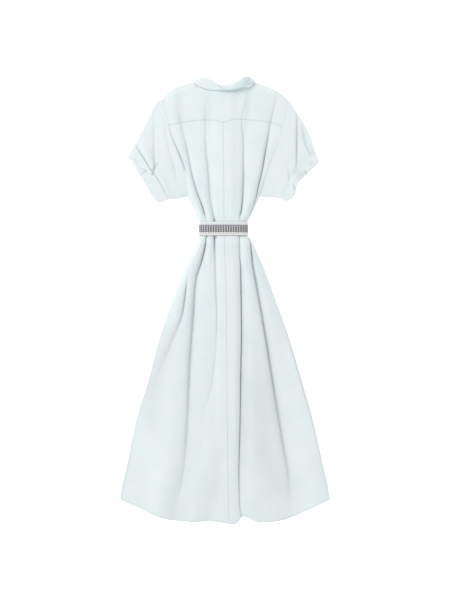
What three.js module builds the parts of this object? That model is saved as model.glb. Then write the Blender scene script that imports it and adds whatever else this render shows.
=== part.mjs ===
// Short-sleeved shirt dress with a woven belt, laid flat on its front with the back side up.
// Millimetres. +X is to the right, +Y runs from the hem to the collar, +Z is up from the table.
// The lower layer (fronts, placket, buttons) rests on the table and the upper layer (yoke, backs)
// lies on it; the sleeves, cuffs, collar band and belt are flattened tubes round both layers.
import * as THREE from 'three';

// Driving dimensions
const CLOTH = 1.2; // wall of the dress cloth
const GAP = 0.3; // between two pieces at a seam
const ARMHOLE_GAP = 0.45; // the same along the sloping armhole
const CUFF_WALL = 2.2; // turned-up cuff, two layers of cloth
const BAND_WALL = 1.6; // collar band, two layers of cloth
const BELT = { width: 40, thick: 2, y: 204.5, x: -2.9, half: 71, top: 24, side: 9, room: 0.6 };
const BUTTON = { radius: 5.5, thick: 2, first: 548, pitch: 90, count: 11, waist: 26 };
const PLACKET = { half: 17, thick: 1.2, raised: -400, flat: -460 };
const EDGE = 2.2; // first grid line inside a free edge
const SHOULDER_ROLL = 18; // distance over which the yoke rounds down to the shoulder fold
const NECK_LIFT = 4.5; // height of the yoke over the fronts at the back neck seam

const COLOURS = {
  cloth: new THREE.MeshStandardMaterial({ color: 0xe4eff0, roughness: 0.85, metalness: 0 }),
  belt: new THREE.MeshStandardMaterial({ color: 0x9a9ca4, roughness: 0.8, metalness: 0 }),
  button: new THREE.MeshStandardMaterial({ color: 0xf2f4f2, roughness: 0.35, metalness: 0 }),
};

// A table: one row for each section, with the named columns
function table(columns, rows) {
  return rows.map((row) => Object.fromEntries(columns.map((name, i) => [name, row[i]])));
}

// Smooth curve through one column of a table, with no overshoot between its rows
function column(rows, key, name) {
  const sorted = [...rows].sort((a, b) => a[key] - b[key]);
  const k = sorted.map((row) => row[key]);
  const v = sorted.map((row) => row[name]);
  const secant = k.slice(1).map((next, i) => (v[i + 1] - v[i]) / (next - k[i]));
  const slope = v.map((_, i) => {
    if (i === 0) return secant[0];
    if (i === v.length - 1) return secant[i - 1];
    const [before, after] = [secant[i - 1], secant[i]];
    return before * after <= 0 ? 0 : (2 * before * after) / (before + after);
  });
  return (at) => {
    const q = Math.min(Math.max(at, k[0]), k[k.length - 1]);
    let i = 0;
    while (i < k.length - 2 && q > k[i + 1]) i += 1;
    const h = k[i + 1] - k[i];
    const t = (q - k[i]) / h;
    const rise = v[i + 1] - v[i];
    return v[i] + rise * t * t * (3 - 2 * t)
      + h * t * (1 - t) * (slope[i] * (1 - t) - slope[i + 1] * t);
  };
}

const step = (from, to, value) => THREE.MathUtils.smoothstep(value, from, to);
const mix = THREE.MathUtils.lerp;

// The body's outline and centre seam: the edges are the armholes down to the underarm and the side
// seams below it. puff is the height of the upper layer's crests, roll the width over which it
// rounds down to the side, low the share of puff left in the plain cloth towards the side seams.
const BODY = table(['y', 'left', 'right', 'seam', 'puff', 'roll', 'low'], [
  [581, -178, 184, -3, 5, 30, 0.8],
  [505, -162, 172, -3, 6, 34, 0.8],
  [438, -144, 150, -3, 9, 34, 0.8],
  [383, -120, 129, -2, 11, 30, 0.8],
  [298, -106, 102, -1, 14, 22, 0.9],
  [252, -86, 81, -1, 16, 18, 1],
  [233, -76, 71, 0, 17, 16, 1],
  [226, -70.5, 64.5, 0, 17, 16, 1],
  [183, -70.5, 64.5, 1, 17, 16, 1],
  [175, -78, 76, 1, 17, 16, 1],
  [160, -85, 84, 1, 18, 18, 1],
  [102, -113, 110, 3, 17, 24, 0.9],
  [-3, -151, 149, 6, 16, 36, 0.6],
  [-119, -190, 190, 7, 15, 48, 0.45],
  [-235, -221, 224, 8, 14, 54, 0.4],
  [-351, -256, 257, 9, 12, 60, 0.4],
  [-467, -280, 283, 10, 11, 60, 0.45],
  [-580, -302, 305, 12, 9, 56, 0.5],
  [-650, -304, 307, 14, 8, 56, 0.5],
]);
const body = Object.fromEntries(
  ['left', 'right', 'seam', 'puff', 'roll', 'low'].map((name) => [name, column(BODY, 'y', name)]),
);
const UNDERARM = 298;
const SHOULDER = 581;

// Folds that run down the upper layer: the line of each valley, how deep it cuts into the puff
// (0 to 1) and how far it spreads to its left and right
const FOLD_COLUMNS = ['y', 'x', 'depth', 'left', 'right'];
const FOLDS = {
  a: table(FOLD_COLUMNS, [
    [581, -138, 0.1, 10, 6], [515, -126, 0.6, 8, 5], [432, -107, 0.85, 8, 5], [360, -93, 0.9, 8, 5],
    [307, -78, 0.9, 7, 5], [244, -56, 0.9, 4, 4], [183, -53, 0.85, 4, 4], [122, -58, 0.9, 6, 5],
    [78, -80, 0.9, 8, 6], [-52, -90, 0.9, 10, 8], [-197, -100, 0.9, 11, 9], [-351, -106, 0.8, 12, 9],
    [-476, -115, 0.6, 15, 11], [-560, -128, 0.35, 18, 14], [-650, -146, 0.1, 20, 16],
  ]),
  b: table(FOLD_COLUMNS, [
    [581, -54, 0.05, 6, 6], [515, -54, 0.45, 6, 6], [438, -53, 0.7, 6, 6], [380, -47, 0.75, 6, 6],
    [322, -41, 0.8, 6, 6], [229, -29, 0.85, 4, 4], [183, -29, 0.85, 4, 4], [46, -27, 0.7, 5, 5],
    [-52, -21, 0.45, 5, 5], [-125, -23, 0.35, 8, 6], [-244, -34, 0.3, 10, 8],
    [-340, -58, 0.1, 12, 10], [-650, -72, 0, 12, 12],
  ]),
  c: table(FOLD_COLUMNS, [
    [581, 66, 0.2, 8, 8], [515, 51, 0.6, 6, 5], [461, 56, 0.75, 7, 5], [374, 56, 0.8, 7, 5],
    [302, 54, 0.9, 6, 5], [244, 47, 0.95, 4, 4], [183, 43, 0.95, 4, 4], [93, 45, 0.95, 4, 8],
    [-99, 47, 1, 4, 10], [-206, 45, 1, 4, 11], [-351, 43, 1, 4, 12], [-496, 40, 0.95, 5, 12],
    [-592, 43, 0.9, 6, 13], [-650, 52, 0.85, 7, 14],
  ]),
  d: table(FOLD_COLUMNS, [
    [581, 151, 0.35, 6, 7], [515, 135, 0.75, 5, 7], [438, 120, 0.9, 5, 7], [368, 108, 0.95, 5, 6],
    [316, 93, 0.95, 5, 4], [281, 77, 0.9, 4, 3], [244, 58, 0.85, 4, 3], [183, 53, 0.85, 4, 3],
    [128, 75, 0.9, 6, 5], [46, 92, 0.95, 9, 7], [-99, 117, 0.95, 9, 9], [-278, 146, 0.9, 10, 10],
    [-423, 171, 0.8, 11, 9], [-520, 187, 0.6, 14, 9], [-580, 190, 0.15, 16, 12],
    [-650, 192, 0, 16, 14],
  ]),
};
// A soft diagonal fold between the left side seam and fold a, placed as a share of that width
const DIAGONAL = table(['y', 'share', 'depth', 'left', 'right'], [
  [581, 0.5, 0, 8, 8], [299, 0.5, 0, 8, 8], [183, 0.5, 0, 4, 4], [70, 0.7, 0.1, 8, 6],
  [20, 0.8, 0.6, 14, 5], [-41, 0.82, 0.75, 18, 6], [-113, 0.62, 0.7, 24, 12],
  [-171, 0.42, 0.6, 26, 18], [-244, 0.22, 0.35, 26, 22], [-330, 0.2, 0, 24, 24],
  [-650, 0.4, 0, 24, 24],
]);
const folds = Object.fromEntries(Object.entries(FOLDS).map(([name, rows]) => [
  name, Object.fromEntries(FOLD_COLUMNS.slice(1).map((key) => [key, column(rows, 'y', key)])),
]));
const OUTER = 2.4; // a fold's reach, as a share of its spread
const NECK_CORNER = 90.5; // where the neck seam meets the shoulder folds
folds.diagonal = Object.fromEntries(['depth', 'left', 'right']
  .map((key) => [key, column(DIAGONAL, 'y', key)]));
const diagonalShare = column(DIAGONAL, 'y', 'share');
const reachLeft = (y) => folds.a.x(y) - OUTER * folds.a.left(y);
const reachRight = (y) => folds.d.x(y) + OUTER * folds.d.right(y);
folds.diagonal.x = (y) => mix(body.left(y), reachLeft(y), diagonalShare(y));

// Seam between the yoke and the backs, with its small centre point
const yokeSeam = column(table(['x', 'y'], [
  [-180, 503], [-162, 505], [-127, 511], [-91, 516], [-54, 520], [-28, 519], [-3, 512], [22, 519],
  [45, 521], [88, 518], [132, 513], [170, 500], [190, 496],
]), 'x', 'y');
// Shoulder fold, back neck seam, shoulder fold
const topEdge = column(table(['x', 'y'], [
  [-178, 581], [-167, 597], [-144, 612], [-115, 623], [-91, 627.5], [-71, 615], [-54, 608],
  [-36, 605], [-2, 602], [33, 606], [57, 612], [72, 618], [90, 627.5], [109, 623], [135, 612],
  [158, 600], [173, 589], [184, 577],
]), 'x', 'y');
// Hem of the backs, lifted where fold c turns under
const backHem = column(table(['x', 'y'], [
  [-302, -579], [-290, -586], [-255, -601], [-211, -623], [-173, -636], [-139, -641], [-81, -644],
  [-42, -641], [-18, -645], [6, -649], [26, -651], [38, -645], [46, -634], [57, -628], [69, -631],
  [84, -640], [103, -645], [127, -645], [156, -642], [200, -628], [238, -612], [272, -597],
  [305, -581],
]), 'x', 'y');
const frontHem = (x) => -624 + 45 * (x / 302) ** 2;

// Collar band: its seam edge and its free edge, from the lap at the centre front round over the
// back and along the front to the lap again
const COLLAR = table(['seamX', 'seamY', 'seamZ', 'freeX', 'freeY', 'freeZ'], [
  [4, 593, 1.3, 4, 622, 1.2],
  [-14, 593, 1.3, -12, 622.5, 1.2],
  [-30, 596.5, 1.2, -27, 626, 1.2],
  [-50, 604.5, 1.1, -40, 634, 1.2],
  [-70, 616, 1, -52, 641, 1.2],
  [-85, 628, 1.2, -59, 644.5, 1.2],
  [-88, 630.5, 3.5, -62, 646, 3.6],
  [-85, 628.5, 6.5, -58, 644, 7.6],
  [-72, 619, 7.8, -48, 640, 11],
  [-56, 612, 8.2, -36, 633, 17],
  [-40, 608, 8.4, -25, 621, 28],
  [-22, 605.5, 8.4, -14, 611, 34],
  [-2, 604.5, 8.4, -2, 609.5, 36],
  [14, 605.5, 8.4, 12, 611, 36],
  [33, 608.5, 8.4, 28, 615, 35],
  [52, 614, 8.2, 47, 621, 34],
  [68, 621, 7.8, 63, 628, 33],
  [82, 628.5, 6.8, 75, 636, 31],
  [88, 631.5, 4.6, 76, 641, 25],
  [80, 629, 2.2, 68, 646, 17],
  [64, 619, 1.6, 57, 645, 12],
  [46, 608, 2.2, 44, 637, 8],
  [26, 598, 3, 25, 627.5, 6],
  [8, 593, 3.7, 8, 623, 4.6],
  [-6, 592.5, 3.7, -6, 622, 3.8],
  [-20, 594.2, 3.7, -18, 623.5, 3.7],
]);
const LAP = [COLLAR[0], COLLAR[COLLAR.length - 2], COLLAR[COLLAR.length - 1]];
const frontNeck = column(COLLAR.filter((row) => row.seamZ < 4 && !LAP.includes(row))
  .map((row) => ({ x: row.seamX, y: row.seamY - BAND_WALL / 2 - 3.3 * GAP })), 'x', 'y');
const frontTop = (x) => Math.min(topEdge(x), frontNeck(x));

// Inside of the belt: a flat-bottomed oval that holds the gathered waist
const BELT_SHAPE = { over: 2.6, under: 4 };
function ovalHeight(x, half, height, power) {
  const u = Math.min(1, Math.abs(x - BELT.x) / half);
  return height * (1 - u ** power) ** (1 / power);
}
const beltHalf = BELT.half - BELT.thick;
const beltRoof = (x) => BELT.side
  + ovalHeight(x, beltHalf, BELT.top - BELT.thick - BELT.side, BELT_SHAPE.over) - BELT.room;
const beltFloor = (x) => BELT.side
  - ovalHeight(x, beltHalf, BELT.side - BELT.thick, BELT_SHAPE.under) + BELT.room;
const fromBelt = (y) => Math.abs(y - BELT.y) - BELT.width / 2;
const beltHold = (y, reach) => 1 - step(2, reach, fromBelt(y));

// Height of the fronts' underside: on the table, but over the placket and inside the belt
const placketLift = (y) => (BUTTON.thick + GAP) * step(PLACKET.flat, PLACKET.raised, y);
const FRONT_RIDGE = { height: 3, spread: 7, reach: 120 };
function frontUnder(x, y) {
  const fromSeam = Math.abs(x - body.seam(y));
  const overPlacket = (placketLift(y) + PLACKET.thick + GAP)
    * (1 - step(PLACKET.half + 2, PLACKET.half + 26, fromSeam));
  const ridgeLines = [(folds.a.x(y) + folds.b.x(y)) / 2, (folds.c.x(y) + folds.d.x(y)) / 2];
  const ridge = ridgeLines.reduce(
    (sum, line) => sum + Math.exp(-(((x - line) / FRONT_RIDGE.spread) ** 2)), 0,
  ) * FRONT_RIDGE.height * (1 - step(0, FRONT_RIDGE.reach, fromBelt(y))) * step(0, 14, fromBelt(y));
  const onTable = overPlacket + ridge;
  const inBelt = Math.max(beltFloor(x), overPlacket);
  return mix(onTable, inBelt, beltHold(y, 40));
}

// Height of the upper layer over the lower one
const armholeLift = (y) => 5.5 * Math.sin(Math.PI * Math.min(1, Math.max(
  0, (y - UNDERARM) / (SHOULDER - UNDERARM),
))) ** 0.6;
function valley(fold, x, y) {
  const away = x - fold.x(y);
  const spread = away < 0 ? fold.left(y) : fold.right(y);
  return 1 - fold.depth(y) * Math.exp(-((Math.abs(away) / spread) ** 1.4));
}
function rise(x, y) {
  const plain = Math.max(reachLeft(y) - x, x - reachRight(y), 0);
  const crest = body.puff(y) * mix(1, body.low(y), step(0, 70, plain));
  const folded = crest * Object.values(folds).reduce((share, fold) => share * valley(fold, x, y), 1);
  const toSide = Math.min(x - body.left(y), body.right(y) - x);
  const rolled = mix(armholeLift(y), folded, step(0, body.roll(y), toSide) ** 0.6);
  const neck = NECK_LIFT * (1 - step(60, 84, Math.abs(x)));
  const open = mix(neck, rolled, step(0, SHOULDER_ROLL, topEdge(x) - y));
  const room = beltRoof(x) - beltFloor(x) - 2 * CLOTH - GAP - 0.4;
  const share = folded / crest;
  return mix(open, Math.max(0, room) * share, beltHold(y, 26));
}
// A cloth wall keeps its thickness on a slope
const SLOPE_LIMIT = 2;
function clothTop(under, x, y) {
  const dx = (under(x + 0.5, y) - under(x - 0.5, y));
  const dy = (under(x, y + 0.5) - under(x, y - 0.5));
  return under(x, y) + CLOTH * Math.min(SLOPE_LIMIT, Math.hypot(1, dx, dy));
}
const backUnder = (x, y) => clothTop(frontUnder, x, y) + GAP + rise(x, y);
function backTop(x, y) {
  const free = clothTop(backUnder, x, y);
  return fromBelt(y) < 2 ? Math.min(free, beltRoof(x)) : free;
}

// Closed solid between two grids of points with the same rows and columns. Round, its columns
// close on themselves
function wall(outer, inner, round = false) {
  const rows = outer.length;
  const cols = outer[0].length;
  const points = [...outer.flat(), ...inner.flat()];
  const index = [];
  const quad = (a, b, c, d) => index.push(a, b, c, a, c, d);
  const at = (side, i, j) => side * rows * cols + i * cols + (j % cols);
  const spans = round ? cols : cols - 1;
  for (let i = 0; i < rows - 1; i += 1) {
    for (let j = 0; j < spans; j += 1) {
      quad(at(0, i, j), at(0, i, j + 1), at(0, i + 1, j + 1), at(0, i + 1, j));
      quad(at(1, i, j), at(1, i + 1, j), at(1, i + 1, j + 1), at(1, i, j + 1));
    }
  }
  for (let j = 0; j < spans; j += 1) {
    quad(at(0, 0, j + 1), at(0, 0, j), at(1, 0, j), at(1, 0, j + 1));
    quad(at(0, rows - 1, j), at(0, rows - 1, j + 1), at(1, rows - 1, j + 1), at(1, rows - 1, j));
  }
  if (!round) {
    for (let i = 0; i < rows - 1; i += 1) {
      quad(at(0, i, 0), at(0, i + 1, 0), at(1, i + 1, 0), at(1, i, 0));
      quad(at(0, i + 1, cols - 1), at(0, i, cols - 1), at(1, i, cols - 1), at(1, i + 1, cols - 1));
    }
  }
  return solid(points, index);
}

// Geometry of a closed solid, with its faces turned to point out
function solid(points, index) {
  let volume = 0;
  const cross = new THREE.Vector3();
  for (let i = 0; i < index.length; i += 3) {
    cross.crossVectors(points[index[i + 1]], points[index[i + 2]]);
    volume += points[index[i]].dot(cross);
  }
  const geometry = new THREE.BufferGeometry();
  geometry.setAttribute('position', new THREE.Float32BufferAttribute(
    points.flatMap((p) => [p.x, p.y, p.z]), 3,
  ));
  geometry.setIndex(volume < 0 ? index.reverse() : index);
  return geometry;
}

const dress = new THREE.Group();
function add(name, geometry, material) {
  geometry.computeVertexNormals();
  const mesh = new THREE.Mesh(geometry, material);
  mesh.name = name;
  dress.add(mesh);
}

// Grid lines across half of the body, from the side seam or armhole to the centre seam. The one
// between two folds runs to the neck's corner
const toNeck = (y, between, corner) => mix(between, corner, step(505, SHOULDER, y));
function linesLeft(y) {
  const { a, b } = folds;
  const edge = body.left(y);
  const reach = reachLeft(y);
  const soft = Math.max(edge + EDGE + 1, folds.diagonal.x(y));
  return [
    edge, edge + EDGE, (edge + EDGE + soft) / 2, soft, reach,
    a.x(y) - a.left(y), a.x(y) - 0.45 * a.left(y), a.x(y), a.x(y) + 0.45 * a.right(y),
    a.x(y) + a.right(y),
    toNeck(y, (a.x(y) + a.right(y) + b.x(y) - b.left(y)) / 2, -NECK_CORNER),
    b.x(y) - b.left(y), b.x(y), b.x(y) + Math.min(b.right(y), 6),
    body.seam(y) - PLACKET.half - 1.5, body.seam(y) - GAP / 2,
  ];
}
function linesRight(y) {
  const { c, d } = folds;
  const edge = body.right(y);
  const reach = reachRight(y);
  const fill = (share) => mix(reach, edge - EDGE, share);
  return [
    body.seam(y) + GAP / 2, body.seam(y) + PLACKET.half + 1.5, c.x(y) - c.left(y), c.x(y),
    c.x(y) + 0.45 * c.right(y), c.x(y) + c.right(y),
    toNeck(y, (c.x(y) + c.right(y) + d.x(y) - d.left(y)) / 2, NECK_CORNER),
    d.x(y) - d.left(y), d.x(y) - 0.45 * d.left(y), d.x(y), d.x(y) + 0.45 * d.right(y),
    d.x(y) + d.right(y), reach, fill(0.5), edge - EDGE, edge,
  ];
}

// Rows of the body, as heights at the side edge. The armhole rows are shared by every piece there
const YOKE_ROWS = [0, 0.3, 0.6, 0.85, 1];
const BACK_ROWS = [
  505, 472, 438, 405, 372, 335, UNDERARM, 272, 248, 233, 226, 183, 175, 156, 128, 96, 60, 10, -50,
  -119, -200, -290, -380, -467, -530, -580,
];
// Places each row between the yoke seam and a hem, so that the end rows follow both
function backGrid(lines, hem) {
  const first = BACK_ROWS[0];
  const last = BACK_ROWS[BACK_ROWS.length - 1];
  return BACK_ROWS.map((row) => lines(row).map((_, j) => {
    const start = yokeSeam(lines(first)[j]) - GAP;
    const end = hem(lines(-640)[j]);
    const upper = row + (start - first) * step(300, first, row);
    const lower = row + (end - last) * (1 - step(last, -120, row));
    const y = row > 0 ? upper : lower;
    return { x: lines(row === first ? first : y)[j], y };
  }));
}
function yokeGrid(lines, top, drop) {
  return YOKE_ROWS.map((share) => lines(505).map((low, j) => {
    const start = yokeSeam(low) + drop;
    const high = lines(SHOULDER)[j];
    const end = top(high);
    const y = mix(start, end, share);
    return { x: mix(low, high, share), y };
  }));
}
const place = (grid, height) => grid.map((row) => row.map(
  ({ x, y }) => new THREE.Vector3(x, y, height(x, y)),
));

const clothSheet = (grid, under, top) => wall(place(grid, top), place(grid, under));

function makeBacks() {
  add('back_left', clothSheet(backGrid(linesLeft, backHem), backUnder, backTop), COLOURS.cloth);
  add('back_right', clothSheet(backGrid(linesRight, backHem), backUnder, backTop), COLOURS.cloth);
}

function makeYoke() {
  const left = yokeGrid(linesLeft, topEdge, 0);
  const right = yokeGrid(linesRight, topEdge, 0);
  const grid = left.map((row, i) => [...row.slice(0, -1), ...right[i].slice(1)]);
  add('back_yoke', clothSheet(grid, backUnder, backTop), COLOURS.cloth);
}

function makeFronts() {
  const top = (x, y) => clothTop(frontUnder, x, y);
  [['front_left', linesLeft], ['front_right', linesRight]].forEach(([name, lines]) => {
    const upper = yokeGrid(lines, frontTop, -GAP).slice(1).reverse();
    const grid = [...upper, ...backGrid(lines, frontHem)];
    add(name, clothSheet(grid, frontUnder, top), COLOURS.cloth);
  });
}

// Button strip along the centre front, between the buttons and the fronts
function makePlacket() {
  const edges = (y) => [-1, 1].map((side) => body.seam(y) + side * PLACKET.half);
  const upper = yokeGrid(edges, (x) => frontTop(x) - 5 * GAP, -GAP).slice(1).reverse();
  const grid = [...upper, ...backGrid(edges, frontHem)];
  const under = (_, y) => placketLift(y);
  const over = (_, y) => placketLift(y) + PLACKET.thick;
  add('placket', wall(place(grid, over), place(grid, under)), COLOURS.cloth);
}

function makeButtons() {
  const { radius, thick } = BUTTON;
  const profile = [[0, 0], [radius - 0.5, 0], [radius, thick / 2], [radius - 0.5, thick], [0, thick]];
  for (let i = 0; i < BUTTON.count; i += 1) {
    const y = BUTTON.first - i * BUTTON.pitch - (i > 3 ? BUTTON.waist : 0);
    const shape = new THREE.LatheGeometry(profile.map(([r, h]) => new THREE.Vector2(r, h)), 12);
    shape.rotateX(Math.PI / 2);
    shape.translate(body.seam(y), y, 0);
    add(`button_${String(i + 1).padStart(2, '0')}`, shape, COLOURS.button);
  }
}

// Belt: an oval ring round both layers of the gathered waist
function makeBelt() {
  const count = 72;
  const ring = (inset) => Array.from({ length: count }, (_, k) => {
    const turn = (2 * Math.PI * (k + 0.5)) / count;
    const up = Math.sin(turn) > 0;
    const power = 2 / (up ? BELT_SHAPE.over : BELT_SHAPE.under);
    const reach = (up ? BELT.top - BELT.side : BELT.side) - inset;
    const x = Math.sign(Math.cos(turn)) * Math.abs(Math.cos(turn)) ** power;
    const z = Math.sign(Math.sin(turn)) * Math.abs(Math.sin(turn)) ** power;
    return [BELT.x + x * (BELT.half - inset), BELT.side + z * reach];
  });
  const rows = (inset) => [-0.5, 0.5].map((share) => ring(inset).map(
    ([x, z]) => new THREE.Vector3(x, BELT.y + share * BELT.width, z),
  ));
  add('belt', wall(rows(0), rows(BELT.thick), true), COLOURS.belt);
}

// Sleeve and cuff outlines. top and under are the sleeve's edges from the armhole to the cuff, rim
// and mouth the cuff's two long edges from the top edge to the underarm edge
const POINT = ['x', 'y'];
const SLEEVES = {
  left: {
    side: -1,
    edge: body.left,
    top: table(POINT, [[-190, 575], [-203, 563], [-214, 540], [-236, 496], [-256, 455]]),
    under: table(POINT, [[-135, 291], [-163, 292]]),
    rim: table(POINT, [
      [-259, 450], [-248, 429], [-231, 403], [-213, 374], [-202, 360], [-184, 331], [-161, 289],
    ]),
    mouth: table(POINT, [
      [-281, 410], [-265, 397], [-254, 371], [-234, 339], [-216, 307], [-199, 286], [-187, 280],
    ]),
    folds: [
      table(FOLD_COLUMNS, [
        [560, -203, 0.1, 7, 6], [500, -202, 0.6, 8, 6], [430, -200, 0.8, 8, 6],
        [395, -198, 0.8, 6, 5], [370, -200, 0.3, 6, 5],
      ]),
    ],
  },
  right: {
    side: 1,
    edge: body.right,
    top: table(POINT, [[193, 568], [209, 542], [225, 518], [248, 473], [259, 439]]),
    under: table(POINT, [[132, 296], [162, 293]]),
    rim: table(POINT, [
      [261, 435], [240, 409], [218, 384], [198, 363], [187, 339], [178, 313], [163, 290],
    ]),
    mouth: table(POINT, [
      [273, 401], [257, 383], [239, 367], [219, 342], [207, 319], [198, 297], [179, 284],
    ]),
    folds: [
      table(FOLD_COLUMNS, [
        [560, 206, 0.2, 6, 5], [530, 208, 0.75, 6, 4], [440, 210, 0.85, 6, 4],
        [380, 209, 0.8, 6, 5], [360, 208, 0.3, 6, 5],
      ]),
    ],
  },
};

// Smooth line through a few plan points, from 0 to 1
function planLine(points) {
  const line = new THREE.SplineCurve(points.map(({ x, y }) => new THREE.Vector2(x, y)));
  return (share) => line.getPointAt(Math.min(1, Math.max(0, share)));
}
const CUFF = { height: 10.4, rounding: 2.4, inset: 4.4, depth: 0.78 };
const SLEEVE_RISE = 5.5;

// Stations down the armhole, shared with the edges of the yoke, backs and fronts
function armholeStations(sleeve) {
  const lines = sleeve.side < 0 ? linesLeft : linesRight;
  const at = sleeve.side < 0 ? 0 : lines(0).length - 1;
  const yoke = yokeGrid(lines, topEdge, 0).map((row) => row[at]).reverse();
  const back = backGrid(lines, backHem).map((row) => row[at]).filter(({ y }) => y >= UNDERARM - 1);
  return [...yoke, ...back.slice(1)];
}

// A flattened tube: rows of plan points from the top edge to the underarm edge, each with its
// upper and lower height and its wall, become closed rings
function tube(rows) {
  const ring = (row, inset) => {
    const last = row.points.length - 1;
    const drawn = row.points.map((p, k) => {
      if (k > 0 && k < last) return p;
      const next = row.points[k === 0 ? 1 : last - 1];
      const away = Math.min(1, inset / Math.hypot(next.x - p.x, next.y - p.y));
      return { x: mix(p.x, next.x, away), y: mix(p.y, next.y, away) };
    });
    const upper = drawn.map((p, k) => new THREE.Vector3(p.x, p.y, row.upper[k] - inset));
    const lower = drawn.map((p, k) => new THREE.Vector3(p.x, p.y, row.lower[k] + inset));
    return [...upper, ...lower.reverse()];
  };
  return wall(rows.map((row) => ring(row, 0)), rows.map((row) => ring(row, row.wall)), true);
}

function makeSleeve(name, sleeve) {
  const stations = armholeStations(sleeve);
  const count = stations.length;
  const shares = stations.map((_, k) => k / (count - 1));
  const seam = stations.map(({ x, y }) => ({ x: x + sleeve.side * ARMHOLE_GAP, y }));
  const rim = planLine(sleeve.rim);
  const mouth = planLine(sleeve.mouth);
  const cuffLine = (share, depth) => rim(share).clone().lerp(mouth(share), depth);
  const rimLength = rim(0).distanceTo(rim(1));
  const trim = CUFF.inset / rimLength;
  const entry = shares.map((share) => cuffLine(mix(trim, 1 - trim, share), 0.04));
  const end = shares.map((share) => cuffLine(mix(trim, 1 - trim, share), CUFF.depth));
  const topLine = planLine([seam[0], ...sleeve.top, entry[0]]);
  const underLine = planLine([seam[count - 1], ...sleeve.under, entry[count - 1]]);
  const sleeveFolds = sleeve.folds.map((rows) => Object.fromEntries(
    FOLD_COLUMNS.slice(1).map((key) => [key, column(rows, 'y', key)]),
  ));
  const across = (share) => Math.sin(Math.PI * share) ** 0.5;
  const low = (t) => (CUFF_WALL + 0.4) * step(0.5, 0.88, t);
  const patch = (t) => shares.map((share, k) => {
    const along = { x: mix(seam[k].x, entry[k].x, t), y: mix(seam[k].y, entry[k].y, t) };
    const top = topLine(t);
    const under = underLine(t);
    const chord = (line, from, to) => ({
      x: line.x - mix(from.x, to.x, t), y: line.y - mix(from.y, to.y, t),
    });
    const bowTop = chord(top, seam[0], entry[0]);
    const bowUnder = chord(under, seam[count - 1], entry[count - 1]);
    return {
      x: along.x + mix(bowTop.x, bowUnder.x, share),
      y: along.y + mix(bowTop.y, bowUnder.y, share),
    };
  });
  const fromLayers = 2 * CLOTH + GAP;
  const bodyRow = (t) => {
    const points = patch(t);
    const upper = points.map(({ x, y }, k) => {
      const start = armholeLift(stations[k].y);
      const middle = SLEEVE_RISE * across(shares[k]);
      const crest = mix(start, middle, step(0, 0.5, t));
      const folded = crest * sleeveFolds.reduce((share, fold) => share * valley(fold, x, y), 1);
      const cuffRoom = (CUFF.height - 2 * CUFF_WALL - 1.1 - fromLayers) * across(shares[k]);
      return low(t) + fromLayers + mix(folded, Math.max(0, cuffRoom), step(0.8, 1, t));
    });
    return { points, upper, lower: points.map(() => low(t)), wall: CLOTH };
  };
  const endRow = () => {
    const last = bodyRow(1);
    return { ...last, points: end };
  };
  const rows = [0, 0.14, 0.3, 0.46, 0.62, 0.76, 0.88, 1].map(bodyRow);
  add(name, tube([...rows, endRow()]), COLOURS.cloth);
}

function makeCuff(name, sleeve) {
  const rim = planLine(sleeve.rim);
  const mouth = planLine(sleeve.mouth);
  const shares = [0, 0.03, 0.1, 0.2, 0.3, 0.4, 0.5, 0.6, 0.7, 0.8, 0.9, 0.97, 1];
  const crown = (share) => CUFF.height - CUFF.rounding * Math.abs(2 * share - 1) ** 4;
  const row = (depth) => ({
    points: shares.map((share) => rim(share).clone().lerp(mouth(share), depth)),
    upper: shares.map((share) => crown(share) - 0.8 * (depth > 0.9 ? 1 : 0)),
    lower: shares.map(() => 0),
    wall: CUFF_WALL,
  });
  add(name, tube([0, 0.35, 0.7, 1].map(row)), COLOURS.cloth);
}

function makeCollar() {
  const half = BAND_WALL / 2;
  const levels = [0, 0.5, 1];
  const middle = levels.map((level) => COLLAR.map((row) => new THREE.Vector3(
    mix(row.seamX, row.freeX, level), mix(row.seamY, row.freeY, level),
    mix(row.seamZ, row.freeZ, level),
  )));
  const last = COLLAR.length - 1;
  const normal = (i, k) => {
    const next = middle[i][Math.min(k + 1, last)];
    const before = middle[i][Math.max(k - 1, 0)];
    const around = next.clone().sub(before);
    const up = middle[2][k].clone().sub(middle[0][k]);
    return around.cross(up).normalize();
  };
  const shifted = (distance) => middle.map((row, i) => row.map(
    (point, k) => point.clone().addScaledVector(normal(i, k), distance),
  ));
  add('collar_band', wall(shifted(half), shifted(-half)), COLOURS.cloth);
}

makeBacks();
makeYoke();
makeFronts();
makePlacket();
makeButtons();
makeBelt();
Object.entries(SLEEVES).forEach(([side, sleeve]) => {
  makeSleeve(`sleeve_${side}`, sleeve);
  makeCuff(`cuff_${side}`, sleeve);
});
makeCollar();

// The origin is the middle of the dress's outline, on the table
const box = new THREE.Box3().setFromObject(dress);
const middle = box.getCenter(new THREE.Vector3());
dress.children.forEach((mesh) => mesh.geometry.translate(-middle.x, -middle.y, -box.min.z));

export default dress;
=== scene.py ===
"""Short-sleeved shirt dress with a woven belt, laid flat on its front with the back side up.

Tables and shapes are in millimetres on the dress's own plan: +X to the right, +Y from the hem to the
collar, +Z up from the floor. make_mesh() puts them in the frame of the part, in metres.
"""
import math

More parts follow.
